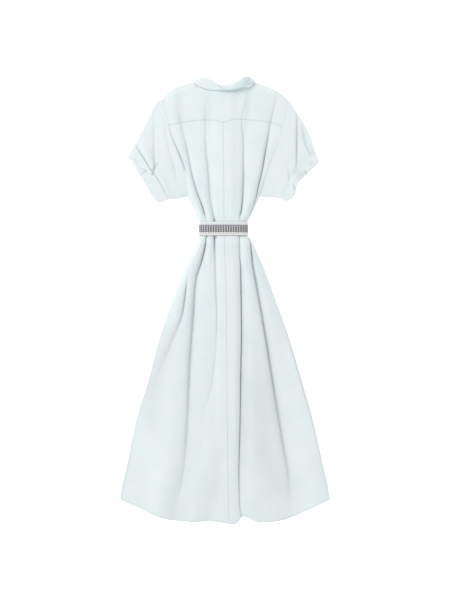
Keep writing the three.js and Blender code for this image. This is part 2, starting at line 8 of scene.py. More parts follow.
import bpy
import numpy as np
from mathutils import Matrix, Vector


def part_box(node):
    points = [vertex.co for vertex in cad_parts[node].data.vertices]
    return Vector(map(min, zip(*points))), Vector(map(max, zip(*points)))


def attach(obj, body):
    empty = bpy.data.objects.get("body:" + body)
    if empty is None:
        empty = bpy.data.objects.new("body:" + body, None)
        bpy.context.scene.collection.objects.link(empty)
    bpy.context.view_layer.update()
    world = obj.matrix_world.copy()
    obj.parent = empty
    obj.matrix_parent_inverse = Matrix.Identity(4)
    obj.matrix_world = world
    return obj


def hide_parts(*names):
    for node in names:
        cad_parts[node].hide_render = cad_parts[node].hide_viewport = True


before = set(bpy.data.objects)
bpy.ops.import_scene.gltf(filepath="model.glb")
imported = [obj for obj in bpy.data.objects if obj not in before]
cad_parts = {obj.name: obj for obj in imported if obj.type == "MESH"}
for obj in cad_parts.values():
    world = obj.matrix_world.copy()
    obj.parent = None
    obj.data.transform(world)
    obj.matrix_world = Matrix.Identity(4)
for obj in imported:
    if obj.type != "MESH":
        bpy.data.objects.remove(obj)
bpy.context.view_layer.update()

MM = 0.001

# Driving dimensions
CLOTH = 0.7           # thickness of the dress cloth as shown
CAD_CLOTH = 1.2       # wall of the cloth in the part's solids
GAP = 0.3             # between two pieces of the part's solids
SEAM = 0.04           # between two pieces of cloth as shown
CUFF_WALL = 2.2
BAND_WALL = 1.6
BELT = dict(width=40, thick=2, y=204.5, x=-2.9, half=71, top=24, side=9, room=0.6, wear=0.25)
BELT_HALF = BELT["half"] - BELT["thick"]
BELT_OVER = 2.6       # powers of the belt's oval above and below its sides
BELT_UNDER = 4.0
BUTTON_THICK = 2.0
BUTTON_COUNT = 11
# Button's outline from its middle: share of the radius and height
BUTTON_PROFILE = ((0.0, 0.45), (0.55, 0.45), (0.72, 0.1), (0.9, 0.05), (1.0, 0.6), (1.0, 1.4),
                  (0.86, 1.95), (0.0, 1.95))
PLACKET = dict(half=17, thick=1.2, raised=-400, flat=-460)
SHOULDER_ROLL = 18
NECK_LIFT = 4.5
UNDERARM = 298
SHOULDER = 581
YOKE_SIDE = 505       # height at which the yoke seam meets the sides
HEM_AT_SEAM = -640
NECK_CORNER = 90.5
OUTER = 2.4           # a fold's reach, as a share of its spread
VALLEY = dict(flank=1.15, flank_power=1.15, core=0.3, core_least=0.5, core_power=1.3,
              core_share=0.35)
FRONT_RIDGE = dict(height=3, spread=7, reach=120)
ARMHOLE_LIFT = 5.5
SLEEVE_RISE = 5.5
CUFF = dict(height=10.4, rounding=2.4, inset=4.4, depth=0.78)
SEAM_DIP = dict(centre=0.15, centre_spread=1.6, yoke=0.5, yoke_spread=2.2)
GATHERS = dict(height=0.55, reach=70, waves=((13, 1.1, 1), (23, 0, 0.6)))
LOOSE = dict(height=0.35, across=0.045, down=0.008, bend=1.5, bend_down=0.011)
# Painted shade in the creases, darker in colour as they deepen
CREASE_PAINTED_SHADE = 0.05    # darkening for each millimetre of a crease's depth
STITCH = dict(length=2.4, pitch=3.6, radius=0.28)
STITCH_LINES = dict(yoke=3.5, hem=6, neck=2.5)    # from the edge that they follow

# Weave of the belt, from its right end and its upper edge
DIAMOND = dict(wide=7.25, tall=5.8, row=6.7, first=8.7, last=31.2)
WEAVE_STOPS = ((0.2, "soft"), (0.25, "dark"), (0.61, "dark"), (0.65, "light"))
EDGE_LINES = ((5.6, 7.2), (33.6, 36))
# Painted shade: past this, from the upper edge, the belt's lower edge is darker in colour
LOWER_EDGE_PAINTED_SHADE = 38.6
BELT_END = dict(start=27, fade=36)    # the weave blurs towards its right end

# Colours
CLOTH_COLOUR = (0.643, 0.708, 0.715)
CLOTH_SHADE = (0.616, 0.685, 0.693)
# hem is painted shade along the belt's lower edge
THREADS = dict(
    dark=(0.03, 0.032, 0.045), light=(0.74, 0.745, 0.76), soft=(0.5, 0.505, 0.53),
    edge=(0.68, 0.682, 0.68), line=(0.55, 0.555, 0.56), hem=(0.5, 0.505, 0.5),
    end=(0.2, 0.215, 0.205),
)
BUTTON_COLOURS = ((0.62, 0.64, 0.62), (0.74, 0.75, 0.73))
STITCH_COLOURS = ((0.58, 0.67, 0.68), (0.68, 0.76, 0.765))

# Grids: rows down and columns across or round
BODY_ROWS = ((YOKE_SIDE, 300, 262, 150, 60, -580), (64, 20, 84, 44, 184))
SPANS_LEFT = (2, 8, 10, 12, 8, 10, 8, 8, 8, 7, 7, 5, 8)
SPANS_RIGHT = (8, 8, 6, 12, 8, 8, 9, 9, 8, 12, 12, 2)
EDGE = 2.2            # width of the outermost strip
YOKE_ROWS = 46
FRONT_NECK_ROWS = 24
PLACKET_NECK_ROWS = 16
BELT_GRID = (21, 360)
COLLAR_GRID = (22, 260)
SLEEVE_ROWS = ((0, 0.8, 1), (84, 36))
SLEEVE_COLUMNS = 150
CUFF_ROWS = ((0, 0.06, 0.94, 1), (4, 30, 6))
CUFF_COLUMNS = 170
BUTTON_SIDES = 40

# Camera, light and floor, in metres but for the size of a pixel of the photo
PHOTO_ROWS = 600
PIXEL = 2.9
VIEW_HEIGHT = PHOTO_ROWS * PIXEL * MM
CAMERA_HEIGHT = 6.0
SENSOR = 36.0
KEY_LIGHT = dict(at=(-3.0, 2.4, 3.8), size=2.0, energy=108)
WORLD_STRENGTH = 0.975
FLOOR = dict(half=12.0, z=-0.0004, colour=0.9, glow=0.5)


def step(low, high, value):
    t = np.clip((np.asarray(value, float) - low) / (high - low), 0, 1)
    return t * t * (3 - 2 * t)


def mix(a, b, share):
    return a + (b - a) * share


def bell(distance, spread, power=2.0):
    return np.exp(-(np.abs(distance) / spread) ** power)


def curve(rows, key=0, value=1):
    """Smooth curve through one column of a table, with no overshoot between its rows."""
    rows = sorted(rows, key=lambda row: row[key])
    k = np.array([row[key] for row in rows], float)
    v = np.array([row[value] for row in rows], float)
    secant = np.diff(v) / np.diff(k)
    slope = np.concatenate([secant[:1], secant])
    before, after = secant[:-1], secant[1:]
    same_way = before * after > 0
    total = np.where(same_way, before + after, 1)
    slope[1:-1] = np.where(same_way, 2 * before * after / total, 0)

    def at(q):
        q = np.clip(np.asarray(q, float), k[0], k[-1])
        i = np.clip(np.searchsorted(k, q, side="right") - 1, 0, len(k) - 2)
        h = k[i + 1] - k[i]
        t = (q - k[i]) / h
        gain = v[i + 1] - v[i]
        bow = slope[i] * (1 - t) - slope[i + 1] * t
        return v[i] + gain * t * t * (3 - 2 * t) + h * t * (1 - t) * bow

    return at


def curves(names, rows):
    """One curve for each named column after the first."""
    return {name: curve(rows, 0, i + 1) for i, name in enumerate(names)}


# The body's outline and centre seam, and the height of the upper layer's crests
BODY = curves(("left", "right", "seam", "puff", "roll", "low"), [
    (581, -178, 184, -3, 5, 30, 0.8),
    (505, -162, 172, -3, 6, 34, 0.8),
    (438, -144, 150, -3, 9, 34, 0.8),
    (383, -120, 129, -2, 11, 30, 0.8),
    (298, -106, 102, -1, 14, 22, 0.9),
    (252, -86, 81, -1, 16, 18, 1),
    (233, -76, 71, 0, 17, 16, 1),
    (228, -73.6, 68.5, 0, 17, 16, 1),
    (225.2, -70.5, 64.5, 0, 17, 16, 1),
    (183.8, -70.5, 64.5, 1, 17, 16, 1),
    (181.5, -75, 70.5, 1, 17, 16, 1),
    (175, -78, 76, 1, 17, 16, 1),
    (160, -85, 84, 1, 18, 18, 1),
    (102, -113, 110, 3, 17, 24, 0.9),
    (-3, -151, 149, 6, 16, 36, 0.6),
    (-119, -190, 190, 7, 15, 48, 0.45),
    (-235, -221, 224, 8, 14, 54, 0.4),
    (-351, -256, 257, 9, 12, 60, 0.4),
    (-467, -280, 283, 10, 11, 60, 0.45),
    (-580, -302, 305, 12, 9, 56, 0.5),
    (-650, -304, 307, 14, 8, 56, 0.5),
])

# Folds that run down the upper layer: line of each valley, depth and spread to its left and right
FOLD = ("x", "depth", "left", "right")
FOLDS = {
    "a": curves(FOLD, [
        (581, -138, 0.1, 10, 6), (515, -126, 0.6, 8, 5), (432, -107, 0.85, 8, 5),
        (360, -93, 0.9, 8, 5), (307, -77, 0.75, 7, 5), (270, -63, 0.85, 6, 4),
        (248, -57, 0.8, 4, 4), (236, -54, 0.3, 4, 4), (226, -53, 0.15, 4, 4),
        (183, -52, 0.5, 4, 4), (168, -53, 0.8, 4, 4), (150, -55, 0.95, 5, 4),
        (126, -61, 0.95, 6, 5), (107, -66, 0.85, 7, 6), (84, -74, 0.8, 9, 7),
        (55, -82, 0.8, 9, 7), (-52, -90, 0.9, 10, 8), (-197, -100, 0.9, 11, 9),
        (-351, -106, 0.8, 12, 9), (-476, -115, 0.6, 15, 11), (-560, -128, 0.35, 18, 14),
        (-650, -146, 0.1, 20, 16),
    ]),
    "b": curves(FOLD, [
        (581, -54, 0.05, 6, 6), (515, -54, 0.45, 6, 6), (438, -53, 0.7, 6, 6),
        (380, -47, 0.7, 6, 6), (322, -43, 0.65, 7, 7), (287, -40, 0.6, 7, 6),
        (250, -33, 0.6, 6, 5), (226, -29, 0.75, 4, 4), (183, -28, 0.85, 4, 4),
        (160, -28, 0.75, 5, 4), (140, -27, 0.6, 7, 5), (46, -25, 0.5, 7, 6),
        (-52, -21, 0.4, 6, 5), (-125, -23, 0.35, 8, 6), (-244, -34, 0.3, 10, 8),
        (-340, -58, 0.1, 12, 10), (-650, -72, 0, 12, 12),
    ]),
    "c": curves(FOLD, [
        (581, 66, 0.2, 8, 8), (515, 51, 0.6, 6, 5), (461, 56, 0.75, 7, 5),
        (374, 56, 0.8, 7, 5), (302, 54, 0.9, 6, 5), (258, 50, 0.95, 4, 4),
        (246, 47, 0.85, 4, 4), (236, 45, 0.3, 4, 4), (226, 44, 0.15, 4, 4),
        (183, 44, 0.4, 4, 4), (122, 44, 0.4, 4, 4), (107, 45, 0.6, 4, 5),
        (84, 46, 0.85, 4, 7), (50, 46, 0.95, 4, 9), (-99, 47, 1, 4, 10),
        (-206, 45, 1, 4, 11), (-351, 43, 1, 4, 12), (-496, 40, 0.95, 5, 12),
        (-592, 43, 0.9, 6, 13), (-650, 52, 0.85, 7, 14),
    ]),
    "d": curves(FOLD, [
        (581, 151, 0.35, 6, 7), (515, 135, 0.75, 5, 7), (438, 120, 0.9, 5, 7),
        (368, 108, 0.95, 5, 6), (327, 98, 0.95, 5, 4), (304, 94, 0.95, 5, 3),
        (281, 87.6, 0.85, 4, 2.6), (269, 83, 0.75, 4, 2.4), (258, 79, 0.7, 4, 2),
        (246, 73.6, 0.5, 4, 1.7), (235, 67.4, 0.3, 4, 1.6), (226, 60, 0.25, 4, 1.4),
        (184, 59, 0.25, 4, 1.4), (180, 66, 0.3, 4, 1.5), (175, 70.5, 0.4, 4, 1.6),
        (168, 73.5, 0.6, 4, 2), (156, 76, 0.85, 4, 3), (145, 77, 0.9, 5, 4),
        (133, 78.6, 0.9, 5, 4), (107, 81, 0.9, 7, 5), (46, 92, 0.95, 9, 7),
        (-99, 117, 0.95, 9, 9), (-278, 146, 0.9, 10, 10), (-423, 171, 0.8, 11, 9),
        (-520, 187, 0.6, 14, 9), (-580, 190, 0.15, 16, 12), (-650, 192, 0, 16, 14),
    ]),
}
# A soft diagonal fold between the left side seam and fold a, placed as a share of that width
DIAGONAL = curves(("share", "depth", "left", "right"), [
    (581, 0.5, 0, 8, 8), (299, 0.5, 0, 8, 8), (183, 0.5, 0, 4, 4), (70, 0.85, 0.2, 8, 5),
    (20, 0.92, 0.8, 14, 3), (-30, 0.9, 0.85, 18, 4), (-113, 0.6, 0.75, 24, 14),
    (-171, 0.42, 0.6, 26, 18), (-244, 0.22, 0.35, 26, 22), (-330, 0.2, 0, 24, 24),
    (-650, 0.4, 0, 24, 24),
])

# Low swells of the upper layer, added to its height: line, height and spread
SWELL = ("x", "height", "spread")
SWELLS = [curves(SWELL, rows) for rows in (
    # ridge beside fold c, down the skirt
    [(160, 62, 0, 8), (0, 74, 1.5, 14), (-250, 80, 2.5, 16), (-460, 84, 2.5, 18), (-650, 88, 1.5, 20)],
    # wide valley right of it, low on the skirt
    [(0, 100, 0, 24), (-250, 116, -1.5, 26), (-420, 132, -3, 32), (-560, 140, -3, 34),
     (-650, 144, -2, 34)],
    # valley towards the left end of the hem
    [(-330, -106, 0, 16), (-467, -108, -1.5, 18), (-600, -143, -2.5, 20), (-650, -150, -2.5, 20)],
    # ridge left of the centre at the hem
    [(-250, -50, 0, 18), (-440, -44, 2.5, 20), (-540, -72, 3, 20), (-650, -98, 2.5, 20)],
    # valley left of the centre seam at the hem
    [(-300, -20, 0, 14), (-440, -8, -2, 14), (-540, -20, -2.5, 16), (-650, -56, -2.5, 18)],
    # shallow hollows of the yoke
    [(640, -134, 0, 12), (600, -132, -1.5, 12), (520, -124, -2.4, 12), (480, -120, 0, 10)],
    [(610, -40, 0, 16), (570, -42, -1.6, 14), (515, -46, -2, 14), (470, -48, 0, 12)],
    [(606, 74, -0.8, 8), (560, 70, -3, 9), (505, 62, -2, 9), (460, 58, 0, 8)],
)]

# Outlines over the plan
YOKE_SEAM = curve([
    (-180, 503), (-162, 505), (-127, 511), (-91, 516), (-54, 520), (-28, 519), (-3, 512),
    (22, 519), (45, 521), (88, 518), (132, 513), (170, 500), (190, 496),
])
TOP_EDGE = curve([
    (-178, 581), (-167, 597), (-144, 612), (-115, 623), (-91, 627.5), (-71, 615), (-54, 608),
    (-36, 605), (-2, 602), (33, 606), (57, 612), (72, 618), (90, 627.5), (109, 623), (135, 612),
    (158, 600), (173, 589), (184, 577),
])
BACK_HEM = curve([
    (-302, -579), (-290, -586), (-255, -601), (-211, -623), (-173, -636), (-139, -641),
    (-81, -644), (-42, -641), (-18, -645), (6, -649), (26, -651), (38, -645), (46, -634),
    (57, -628), (69, -631), (84, -640), (103, -645), (127, -645), (156, -642), (200, -628),
    (238, -612), (272, -597), (305, -581),
])
# Collar band, once round: each row is a point of its seam, then one of its free edge
COLLAR = [
    (4, 593, 1.3, 4, 622, 1.2), (-14, 593, 1.3, -12, 622.5, 1.2),
    (-30, 596.5, 1.2, -27, 626, 1.2), (-50, 604.5, 1.1, -40, 634, 1.2),
    (-70, 616, 1, -52, 641, 1.2), (-85, 628, 1.2, -59, 644.5, 1.2),
    (-91, 629, 3.2, -62, 646, 3.6), (-85, 625, 4.8, -58, 644.5, 6),
    (-72, 616.5, 7, -47, 641, 8), (-56, 612, 8.2, -36, 635, 9),
    (-40, 608, 8.4, -24, 625, 11), (-26, 605.5, 8.4, -16, 615, 15),
    (-10, 604.5, 8.4, -6, 608, 24), (14, 605.5, 8.4, 13, 606.5, 29),
    (33, 608.5, 8.4, 31, 609.5, 29), (52, 614, 8.2, 49, 615, 28), (68, 619.5, 7.4, 65, 621, 26),
    (80, 622.9, 5.4, 75, 631, 23), (91, 629.5, 3.6, 76, 641, 18), (82, 627, 1.8, 68, 646, 12),
    (64, 619, 1.6, 57, 645, 12), (46, 608, 2.2, 44, 637, 8), (26, 598, 3, 25, 627.5, 6),
    (8, 593, 3.7, 8, 623, 4.6), (-6, 592.5, 3.7, -6, 622, 3.8),
    (-20, 594.2, 3.7, -18, 623.5, 3.7),
]
LAP = (COLLAR[0], COLLAR[-2], COLLAR[-1])
FRONT_NECK = curve([
    (row[0], row[1] - BAND_WALL / 2 - 3.3 * GAP)
    for row in COLLAR if row[2] < 4 and row not in LAP
])


# Sharper creases: points of each line, depth at its start and end, spread to its left and right
CREASE = ("line", "depth", "left", "right")
CREASES = [dict(zip(CREASE, row)) for row in (
    # along the left armhole
    ([(-164, 505), (-152, 473), (-138, 438), (-122, 400), (-113, 371)], (1.6, 7), 2, 2),
    # pinch over the left cuff, and under the arm
    ([(-208, 360), (-204, 374), (-201, 383), (-196, 392), (-191, 396)], (9, 4), 2, 2.4),
    ([(-126, 299), (-106, 304)], (1.6, 1.6), 3, 3),
    # dimples of the left cuff
    ([(-248, 383), (-236, 377), (-224, 369)], (1.4, 2.6), 1.8, 3.5),
    ([(-243, 362), (-234, 365), (-223, 374)], (2.4, 1.6), 3.5, 1.8),
    ([(-262, 408), (-254, 400), (-252, 388)], (1.2, 1), 2, 3),
    ([(-267, 402), (-259, 392)], (1, 0.8), 1.4, 1.4),
    # down the right sleeve, and curved beside it
    ([(210, 550), (211, 490), (210.5, 447), (210, 403), (208, 380)], (3, 4.5), 1.4, 2),
    ([(228, 496), (229, 481), (235, 447), (242, 432), (251, 419)], (1, 2.4), 6, 2),
    ([(255, 438), (260, 415)], (1.5, 1), 1.6, 1.6),
    ([(184, 376), (186, 360), (187, 343)], (1, 2), 4, 1.8),
    # where the right cuff is turned in
    ([(198, 366), (210, 374), (222, 371)], (1.2, 0.8), 2, 2),
    ([(210, 347), (222, 356), (233, 366)], (1.6, 2.4), 5, 5),
    ([(208, 369), (220, 362), (230, 362)], (1.6, 1.2), 9, 9),
    ([(246, 390), (262, 399)], (1.4, 1.2), 7, 7),
    ([(233, 374), (236, 367), (242, 361)], (3, 4), 1.6, 2.2),
    ([(200, 334), (203, 325), (206, 315)], (2.5, 4), 1.6, 2.4),
)]


def front_hem(x):
    return -624 + 45 * (x / 302) ** 2


def front_top(x):
    return np.minimum(TOP_EDGE(x), FRONT_NECK(x))


def reach_left(y):
    return FOLDS["a"]["x"](y) - OUTER * FOLDS["a"]["left"](y)


def reach_right(y):
    return FOLDS["d"]["x"](y) + OUTER * FOLDS["d"]["right"](y)


def diagonal_x(y):
    return mix(BODY["left"](y), reach_left(y), DIAGONAL["share"](y))


FOLDS["diagonal"] = dict(x=diagonal_x, **{key: DIAGONAL[key] for key in FOLD[1:]})

# How far the left bank of a fold leans over it to the right, or the right bank to the left
LEAN = {
    "a": curve([(581, 0), (432, -0.5), (244, -2), (160, -2), (60, -1), (-50, 0), (-650, 0)]),
    "b": curve([(581, 0), (300, 0), (244, -1), (183, -1), (100, 0), (-650, 0)]),
    "c": curve([(581, 0), (300, -1), (244, -2), (183, -1), (150, 0), (93, 2), (-99, 3.5),
                (-496, 3.5), (-650, 2)]),
    "d": curve([(581, 0), (500, 0.5), (432, 1.5), (330, 1.5), (280, 0), (150, 1), (46, 1),
                (-99, 2), (-400, 1), (-650, 0)]),
    "diagonal": curve([(581, 0), (90, 0), (20, -2.5), (-41, -2.5), (-113, 0), (-650, 0)]),
}


# Layers of the dress
def oval_height(x, height, power):
    """Height of the inside of the belt, a flat-bottomed oval, over or under its sides."""
    u = np.minimum(1, np.abs(x - BELT["x"]) / BELT_HALF)
    return height * (1 - u ** power) ** (1 / power)


def to_belt(x, y):
    """Where a point would lie if the dress were as narrow there as inside the belt."""
    left, right = BODY["left"], BODY["right"]
    share = (x - left(y)) / (right(y) - left(y))
    return mix(left(BELT["y"]), right(BELT["y"]), share)


def belt_roof(x, y):
    height = BELT["top"] - BELT["thick"] - BELT["side"]
    arch = oval_height(to_belt(x, y), height, BELT_OVER)
    return BELT["side"] + arch - BELT["room"]


def belt_floor(x, y):
    height = BELT["side"] - BELT["thick"]
    arch = oval_height(to_belt(x, y), height, BELT_UNDER)
    return BELT["side"] - arch + BELT["room"]


def from_belt(y):
    return np.abs(y - BELT["y"]) - BELT["width"] / 2


def belt_hold(y, reach):
    return 1 - step(2, reach, from_belt(y))


def placket_lift(y):
    return (BUTTON_THICK + GAP) * step(PLACKET["flat"], PLACKET["raised"], y)


def front_under(x, y):
    """Underside of the fronts: on the floor, but over the placket and inside the belt."""
    from_seam = np.abs(x - BODY["seam"](y))
    beside = step(PLACKET["half"] + 2, PLACKET["half"] + 26, from_seam)
    over_placket = (placket_lift(y) + PLACKET["thick"] + GAP) * (1 - beside)
    a, b, c, d = (FOLDS[name]["x"](y) for name in "abcd")
    ridge = sum(bell(x - line, FRONT_RIDGE["spread"]) for line in ((a + b) / 2, (c + d) / 2))
    near_belt = (1 - step(0, FRONT_RIDGE["reach"], from_belt(y))) * step(0, 14, from_belt(y))
    ridge = ridge * FRONT_RIDGE["height"] * near_belt
    in_belt = np.maximum(belt_floor(x, y), over_placket)
    return mix(over_placket + ridge, in_belt, belt_hold(y, 40))


def armhole_lift(y):
    share = np.clip((y - UNDERARM) / (SHOULDER - UNDERARM), 0, 1)
    return ARMHOLE_LIFT * np.sin(math.pi * share) ** 0.6


def crease_depth(crease, x, y):
    """Depth of one crease at each point, from the nearest stretch of its line."""
    points = np.array(crease["line"], float)
    parts = np.hypot(*np.diff(points, axis=0).T)
    starts = np.concatenate([[0], np.cumsum(parts)])
    nearest = np.full(np.shape(x), np.inf)
    depth = np.zeros(np.shape(x))
    for (px, py), (qx, qy), start, length in zip(points, points[1:], starts, parts):
        ux, uy = (qx - px) / length, (qy - py) / length
        along = (x - px) * ux + (y - py) * uy
        side = (x - px) * uy - (y - py) * ux
        over = np.maximum(np.maximum(-along, along - length), 0)
        away = np.hypot(side, over)
        share = np.clip((start + np.clip(along, 0, length)) / starts[-1], 0, 1)
        ends = np.sin(math.pi * share) ** 0.5
        spread = np.where(side * np.sign(-uy if abs(uy) > 0.2 else 1) < 0,
                          crease["left"], crease["right"])
        here = mix(*crease["depth"], share) * (0.25 + 0.75 * ends) * bell(away, spread, 1.5)
        closer = away < nearest
        depth = np.where(closer, here, depth)
        nearest = np.minimum(nearest, away)
    return depth


def creases(x, y):
    return sum(crease_depth(crease, x, y) for crease in CREASES)


def valley(fold, x, y):
    away = x - fold["x"](y)
    spread = np.where(away < 0, fold["left"](y), fold["right"](y))
    core = bell(away, VALLEY["core"] * spread + VALLEY["core_least"], VALLEY["core_power"])
    flank = bell(away, VALLEY["flank"] * spread, VALLEY["flank_power"])
    return 1 - fold["depth"](y) * mix(flank, core, VALLEY["core_share"])


def lean(x, y):
    """Sideways shift of a fold's steep bank, so that it hangs over the fold."""
    total = np.zeros(np.shape(x))
    for name, fold in FOLDS.items():
        amount = LEAN[name](y)
        away = x - fold["x"](y)
        spread = np.where(amount > 0, fold["left"](y), fold["right"](y))
        bank = away + np.sign(amount) * 0.7 * spread
        total = total + amount * bell(bank, 0.7 * spread) * step(4, 10, from_belt(y))
    return total


def rise(x, y):
    """Height of the upper layer over the lower one."""
    plain = np.maximum(np.maximum(reach_left(y) - x, x - reach_right(y)), 0)
    crest = BODY["puff"](y) * mix(1, BODY["low"](y), step(0, 70, plain))
    share = np.ones_like(x)
    for fold in FOLDS.values():
        share = share * valley(fold, x, y)
    folded = crest * share
    to_side = np.minimum(x - BODY["left"](y), BODY["right"](y) - x)
    inside = step(0, BODY["roll"](y), to_side) ** 0.45
    rolled = mix(armhole_lift(y), folded, inside)
    neck = NECK_LIFT * (1 - step(60, 84, np.abs(x)))
    loose = mix(neck, rolled, step(0, SHOULDER_ROLL, TOP_EDGE(x) - y))
    room = belt_roof(x, y) - belt_floor(x, y) - 2 * CAD_CLOTH - GAP - 0.4
    held = np.maximum(0, room) * share
    return mix(loose, held, belt_hold(y, 26))


def slope_share(under, x, y):
    dx = under(x + 0.5, y) - under(x - 0.5, y)
    dy = under(x, y + 0.5) - under(x, y - 0.5)
    return np.minimum(2, np.sqrt(1 + dx * dx + dy * dy))


def cad_top(under, x, y):
    return under(x, y) + CAD_CLOTH * slope_share(under, x, y)


def back_under(x, y):
    return cad_top(front_under, x, y) + GAP + rise(x, y)


# Painted shade of the cloth along the folds: amount and spread to its left and right
SHADE = ("amount", "left", "right")
SHADES = {name: curves(SHADE, rows) for name, rows in {
    "a": [(581, 0, 6, 6), (432, 0.04, 6, 6), (300, 0.06, 10, 6), (250, 0.08, 9, 4),
          (232, 0.02, 6, 4), (183, 0.04, 6, 4), (150, 0.1, 8, 4), (84, 0.08, 14, 8),
          (-119, 0.1, 11, 10), (-351, 0.1, 12, 9), (-467, 0.07, 14, 10), (-560, 0, 14, 10)],
    "b": [(581, 0, 6, 6), (432, 0.03, 8, 6), (300, 0.04, 9, 6), (244, 0.05, 9, 5),
          (160, 0.05, 9, 5), (84, 0.03, 8, 6), (-119, 0.03, 10, 6), (-235, 0.02, 14, 12),
          (-351, 0, 12, 12)],
    "c": [(581, 0.02, 6, 6), (432, 0.06, 8, 5), (250, 0.06, 5, 4), (232, 0.01, 5, 4),
          (140, 0.02, 4, 4), (84, 0.06, 4, 12), (-3, 0.11, 3, 12), (-119, 0.13, 4, 18),
          (-235, 0.14, 5, 24), (-351, 0.13, 5, 30), (-467, 0.1, 6, 26), (-583, 0.04, 8, 8),
          (-650, 0.03, 8, 8)],
    "d": [(581, 0.04, 8, 6), (505, 0.07, 8, 5), (432, 0.28, 5, 3), (395, 0.32, 5, 3),
          (360, 0.26, 5, 3), (270, 0.06, 6, 3), (235, 0.03, 6, 2), (180, 0.03, 6, 2),
          (150, 0.06, 8, 6), (84, 0.08, 8, 8), (-3, 0.12, 8, 9), (-119, 0.17, 6, 11),
          (-235, 0.18, 12, 10), (-351, 0.17, 13, 9), (-467, 0.15, 14, 8), (-560, 0.08, 12, 10),
          (-620, 0, 16, 12)],
    "diagonal": [(90, 0, 8, 4), (20, 0.06, 16, 4), (-41, 0.08, 20, 8), (-119, 0.08, 24, 20),
                 (-244, 0.03, 24, 20), (-330, 0, 24, 20)],
}.items()}
# Broad soft painted shade of the cloth, and painted light where the amount is below zero: line, amount
# and spread
BROAD_PAINT = ("x", "amount", "spread")
BROAD_PAINTED_LIGHT_AND_SHADE = [curves(BROAD_PAINT, rows) for rows in (
    [(-60, 90, 0, 20), (-150, 98, 0.03, 20), (-235, 105, 0.05, 26), (-351, 118, 0.06, 30),
     (-467, 130, 0.07, 32), (-583, 158, 0.05, 28), (-650, 165, 0.03, 26)],
    [(-400, -128, 0, 16), (-500, -138, 0.03, 20), (-583, -142, 0.05, 26), (-650, -146, 0.04, 26)],
    [(-440, -16, 0, 12), (-500, -20, 0.03, 14), (-583, -32, 0.05, 20), (-650, -52, 0.04, 20)],
    [(640, -132, 0, 10), (590, -130, 0.05, 11), (520, -124, 0.06, 12), (480, -128, 0.03, 8),
     (430, -118, 0.04, 8), (380, -106, 0, 8)],
    [(604, -42, 0.01, 16), (560, -43, 0.04, 16), (515, -46, 0.05, 14), (470, -48, 0.02, 10),
     (430, -48, 0, 10)],
    [(606, 74, 0.02, 8), (560, 70, 0.06, 10), (505, 62, 0.06, 10), (460, 58, 0, 8)],
    [(-60, 160, 0, 20), (-235, 199, -0.055, 28), (-351, 219, -0.06, 32), (-467, 228, -0.05, 34),
     (-554, 248, -0.07, 36), (-650, 250, -0.07, 36)],
    [(-60, -150, 0, 20), (-235, -196, 0.06, 30), (-351, -222, 0.02, 26), (-467, -207, -0.045, 34),
     (-554, -204, -0.03, 34), (-650, -200, -0.03, 34)],
)]
# Shade along the skirt's sides, where the cloth rounds down
SIDE_SHADE = curves(("left", "right"), [
    (20, 0, 0), (-60, 0.03, 0.06), (-235, 0.04, 0.2), (-351, 0.03, 0.12), (-420, 0.06, 0.1),
    (-467, 0.1, 0.1), (-554, 0.12, 0.06), (-650, 0.1, 0.05),
])
SIDE_SHADE_SPREAD = dict(inside=3, width=3.5)


# Painted shade in the creases
def crease_painted_shade(x, y):
    return CREASE_PAINTED_SHADE * np.minimum(creases(x, y), 3)


# Painted shade along the back's folds, creases and sides, with broad painted light and shade
def back_painted_light_and_shade(x, y):
    painted_light_and_shade = 1 - crease_painted_shade(x, y)
    for name, shade in SHADES.items():
        away = x - FOLDS[name]["x"](y)
        spread = np.where(away < 0, shade["left"](y), shade["right"](y))
        painted_light_and_shade = painted_light_and_shade - shade["amount"](y) * bell(away, spread, 1.3)
    for part in BROAD_PAINTED_LIGHT_AND_SHADE:
        painted_light_and_shade = painted_light_and_shade - part["amount"](y) * bell(x - part["x"](y), part["spread"](y))
    for side, amount in SIDE_SHADE.items():
        inside = np.abs(x - BODY[side](y)) - SIDE_SHADE_SPREAD["inside"]
        painted_light_and_shade = painted_light_and_shade - amount(y) * bell(inside, SIDE_SHADE_SPREAD["width"])
    return painted_light_and_shade


def seam_dip(x, y):
    """The cloth dips a little along the centre-back and yoke seams."""
    centre = bell(x - BODY["seam"](y), SEAM_DIP["centre_spread"]) * (y < YOKE_SEAM(x))
    yoke = bell(y - YOKE_SEAM(x), SEAM_DIP["yoke_spread"])
    return SEAM_DIP["centre"] * centre + SEAM_DIP["yoke"] * yoke


def swells(x, y):
    total = np.zeros_like(x)
    for swell in SWELLS:
        total = total + swell["height"](y) * bell(x - swell["x"](y), swell["spread"](y))
    across = (x - BODY["left"](y)) / (BODY["right"](y) - BODY["left"](y))
    near_belt = np.exp(-np.maximum(0, from_belt(y)) / GATHERS["reach"]) * step(4, 16, from_belt(y))
    gathers = sum(size * np.sin(2 * math.pi * turns * across + start)
                  for turns, start, size in GATHERS["waves"])
    bend = LOOSE["bend"] * np.sin(LOOSE["bend_down"] * y)
    loose = np.sin(LOOSE["across"] * x + LOOSE["down"] * y + bend) * step(150, -150, y)
    return total + GATHERS["height"] * near_belt * gathers + LOOSE["height"] * loose


def back_top(x, y):
    to_side = np.minimum(x - BODY["left"](y), BODY["right"](y) - x)
    calm = step(0, 14, to_side) * step(0, 12, TOP_EDGE(x) - y)
    free = back_under(x, y) + CAD_CLOTH + swells(x, y) * calm - seam_dip(x, y) - creases(x, y)
    low = cad_top(front_under, x, y) + GAP + CLOTH
    return np.where(from_belt(y) < 2, np.minimum(free, belt_roof(x, y)), np.maximum(free, low))


# Meshes
def shift():
    """From the plan's origin to the part's, found from the belt."""
    low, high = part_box("belt")
    middle = [(a + b) / 2 for a, b in zip(low, high)]
    return np.array([middle[0] / MM - BELT["x"], middle[1] / MM - BELT["y"], 0.0])


SHIFT = shift()


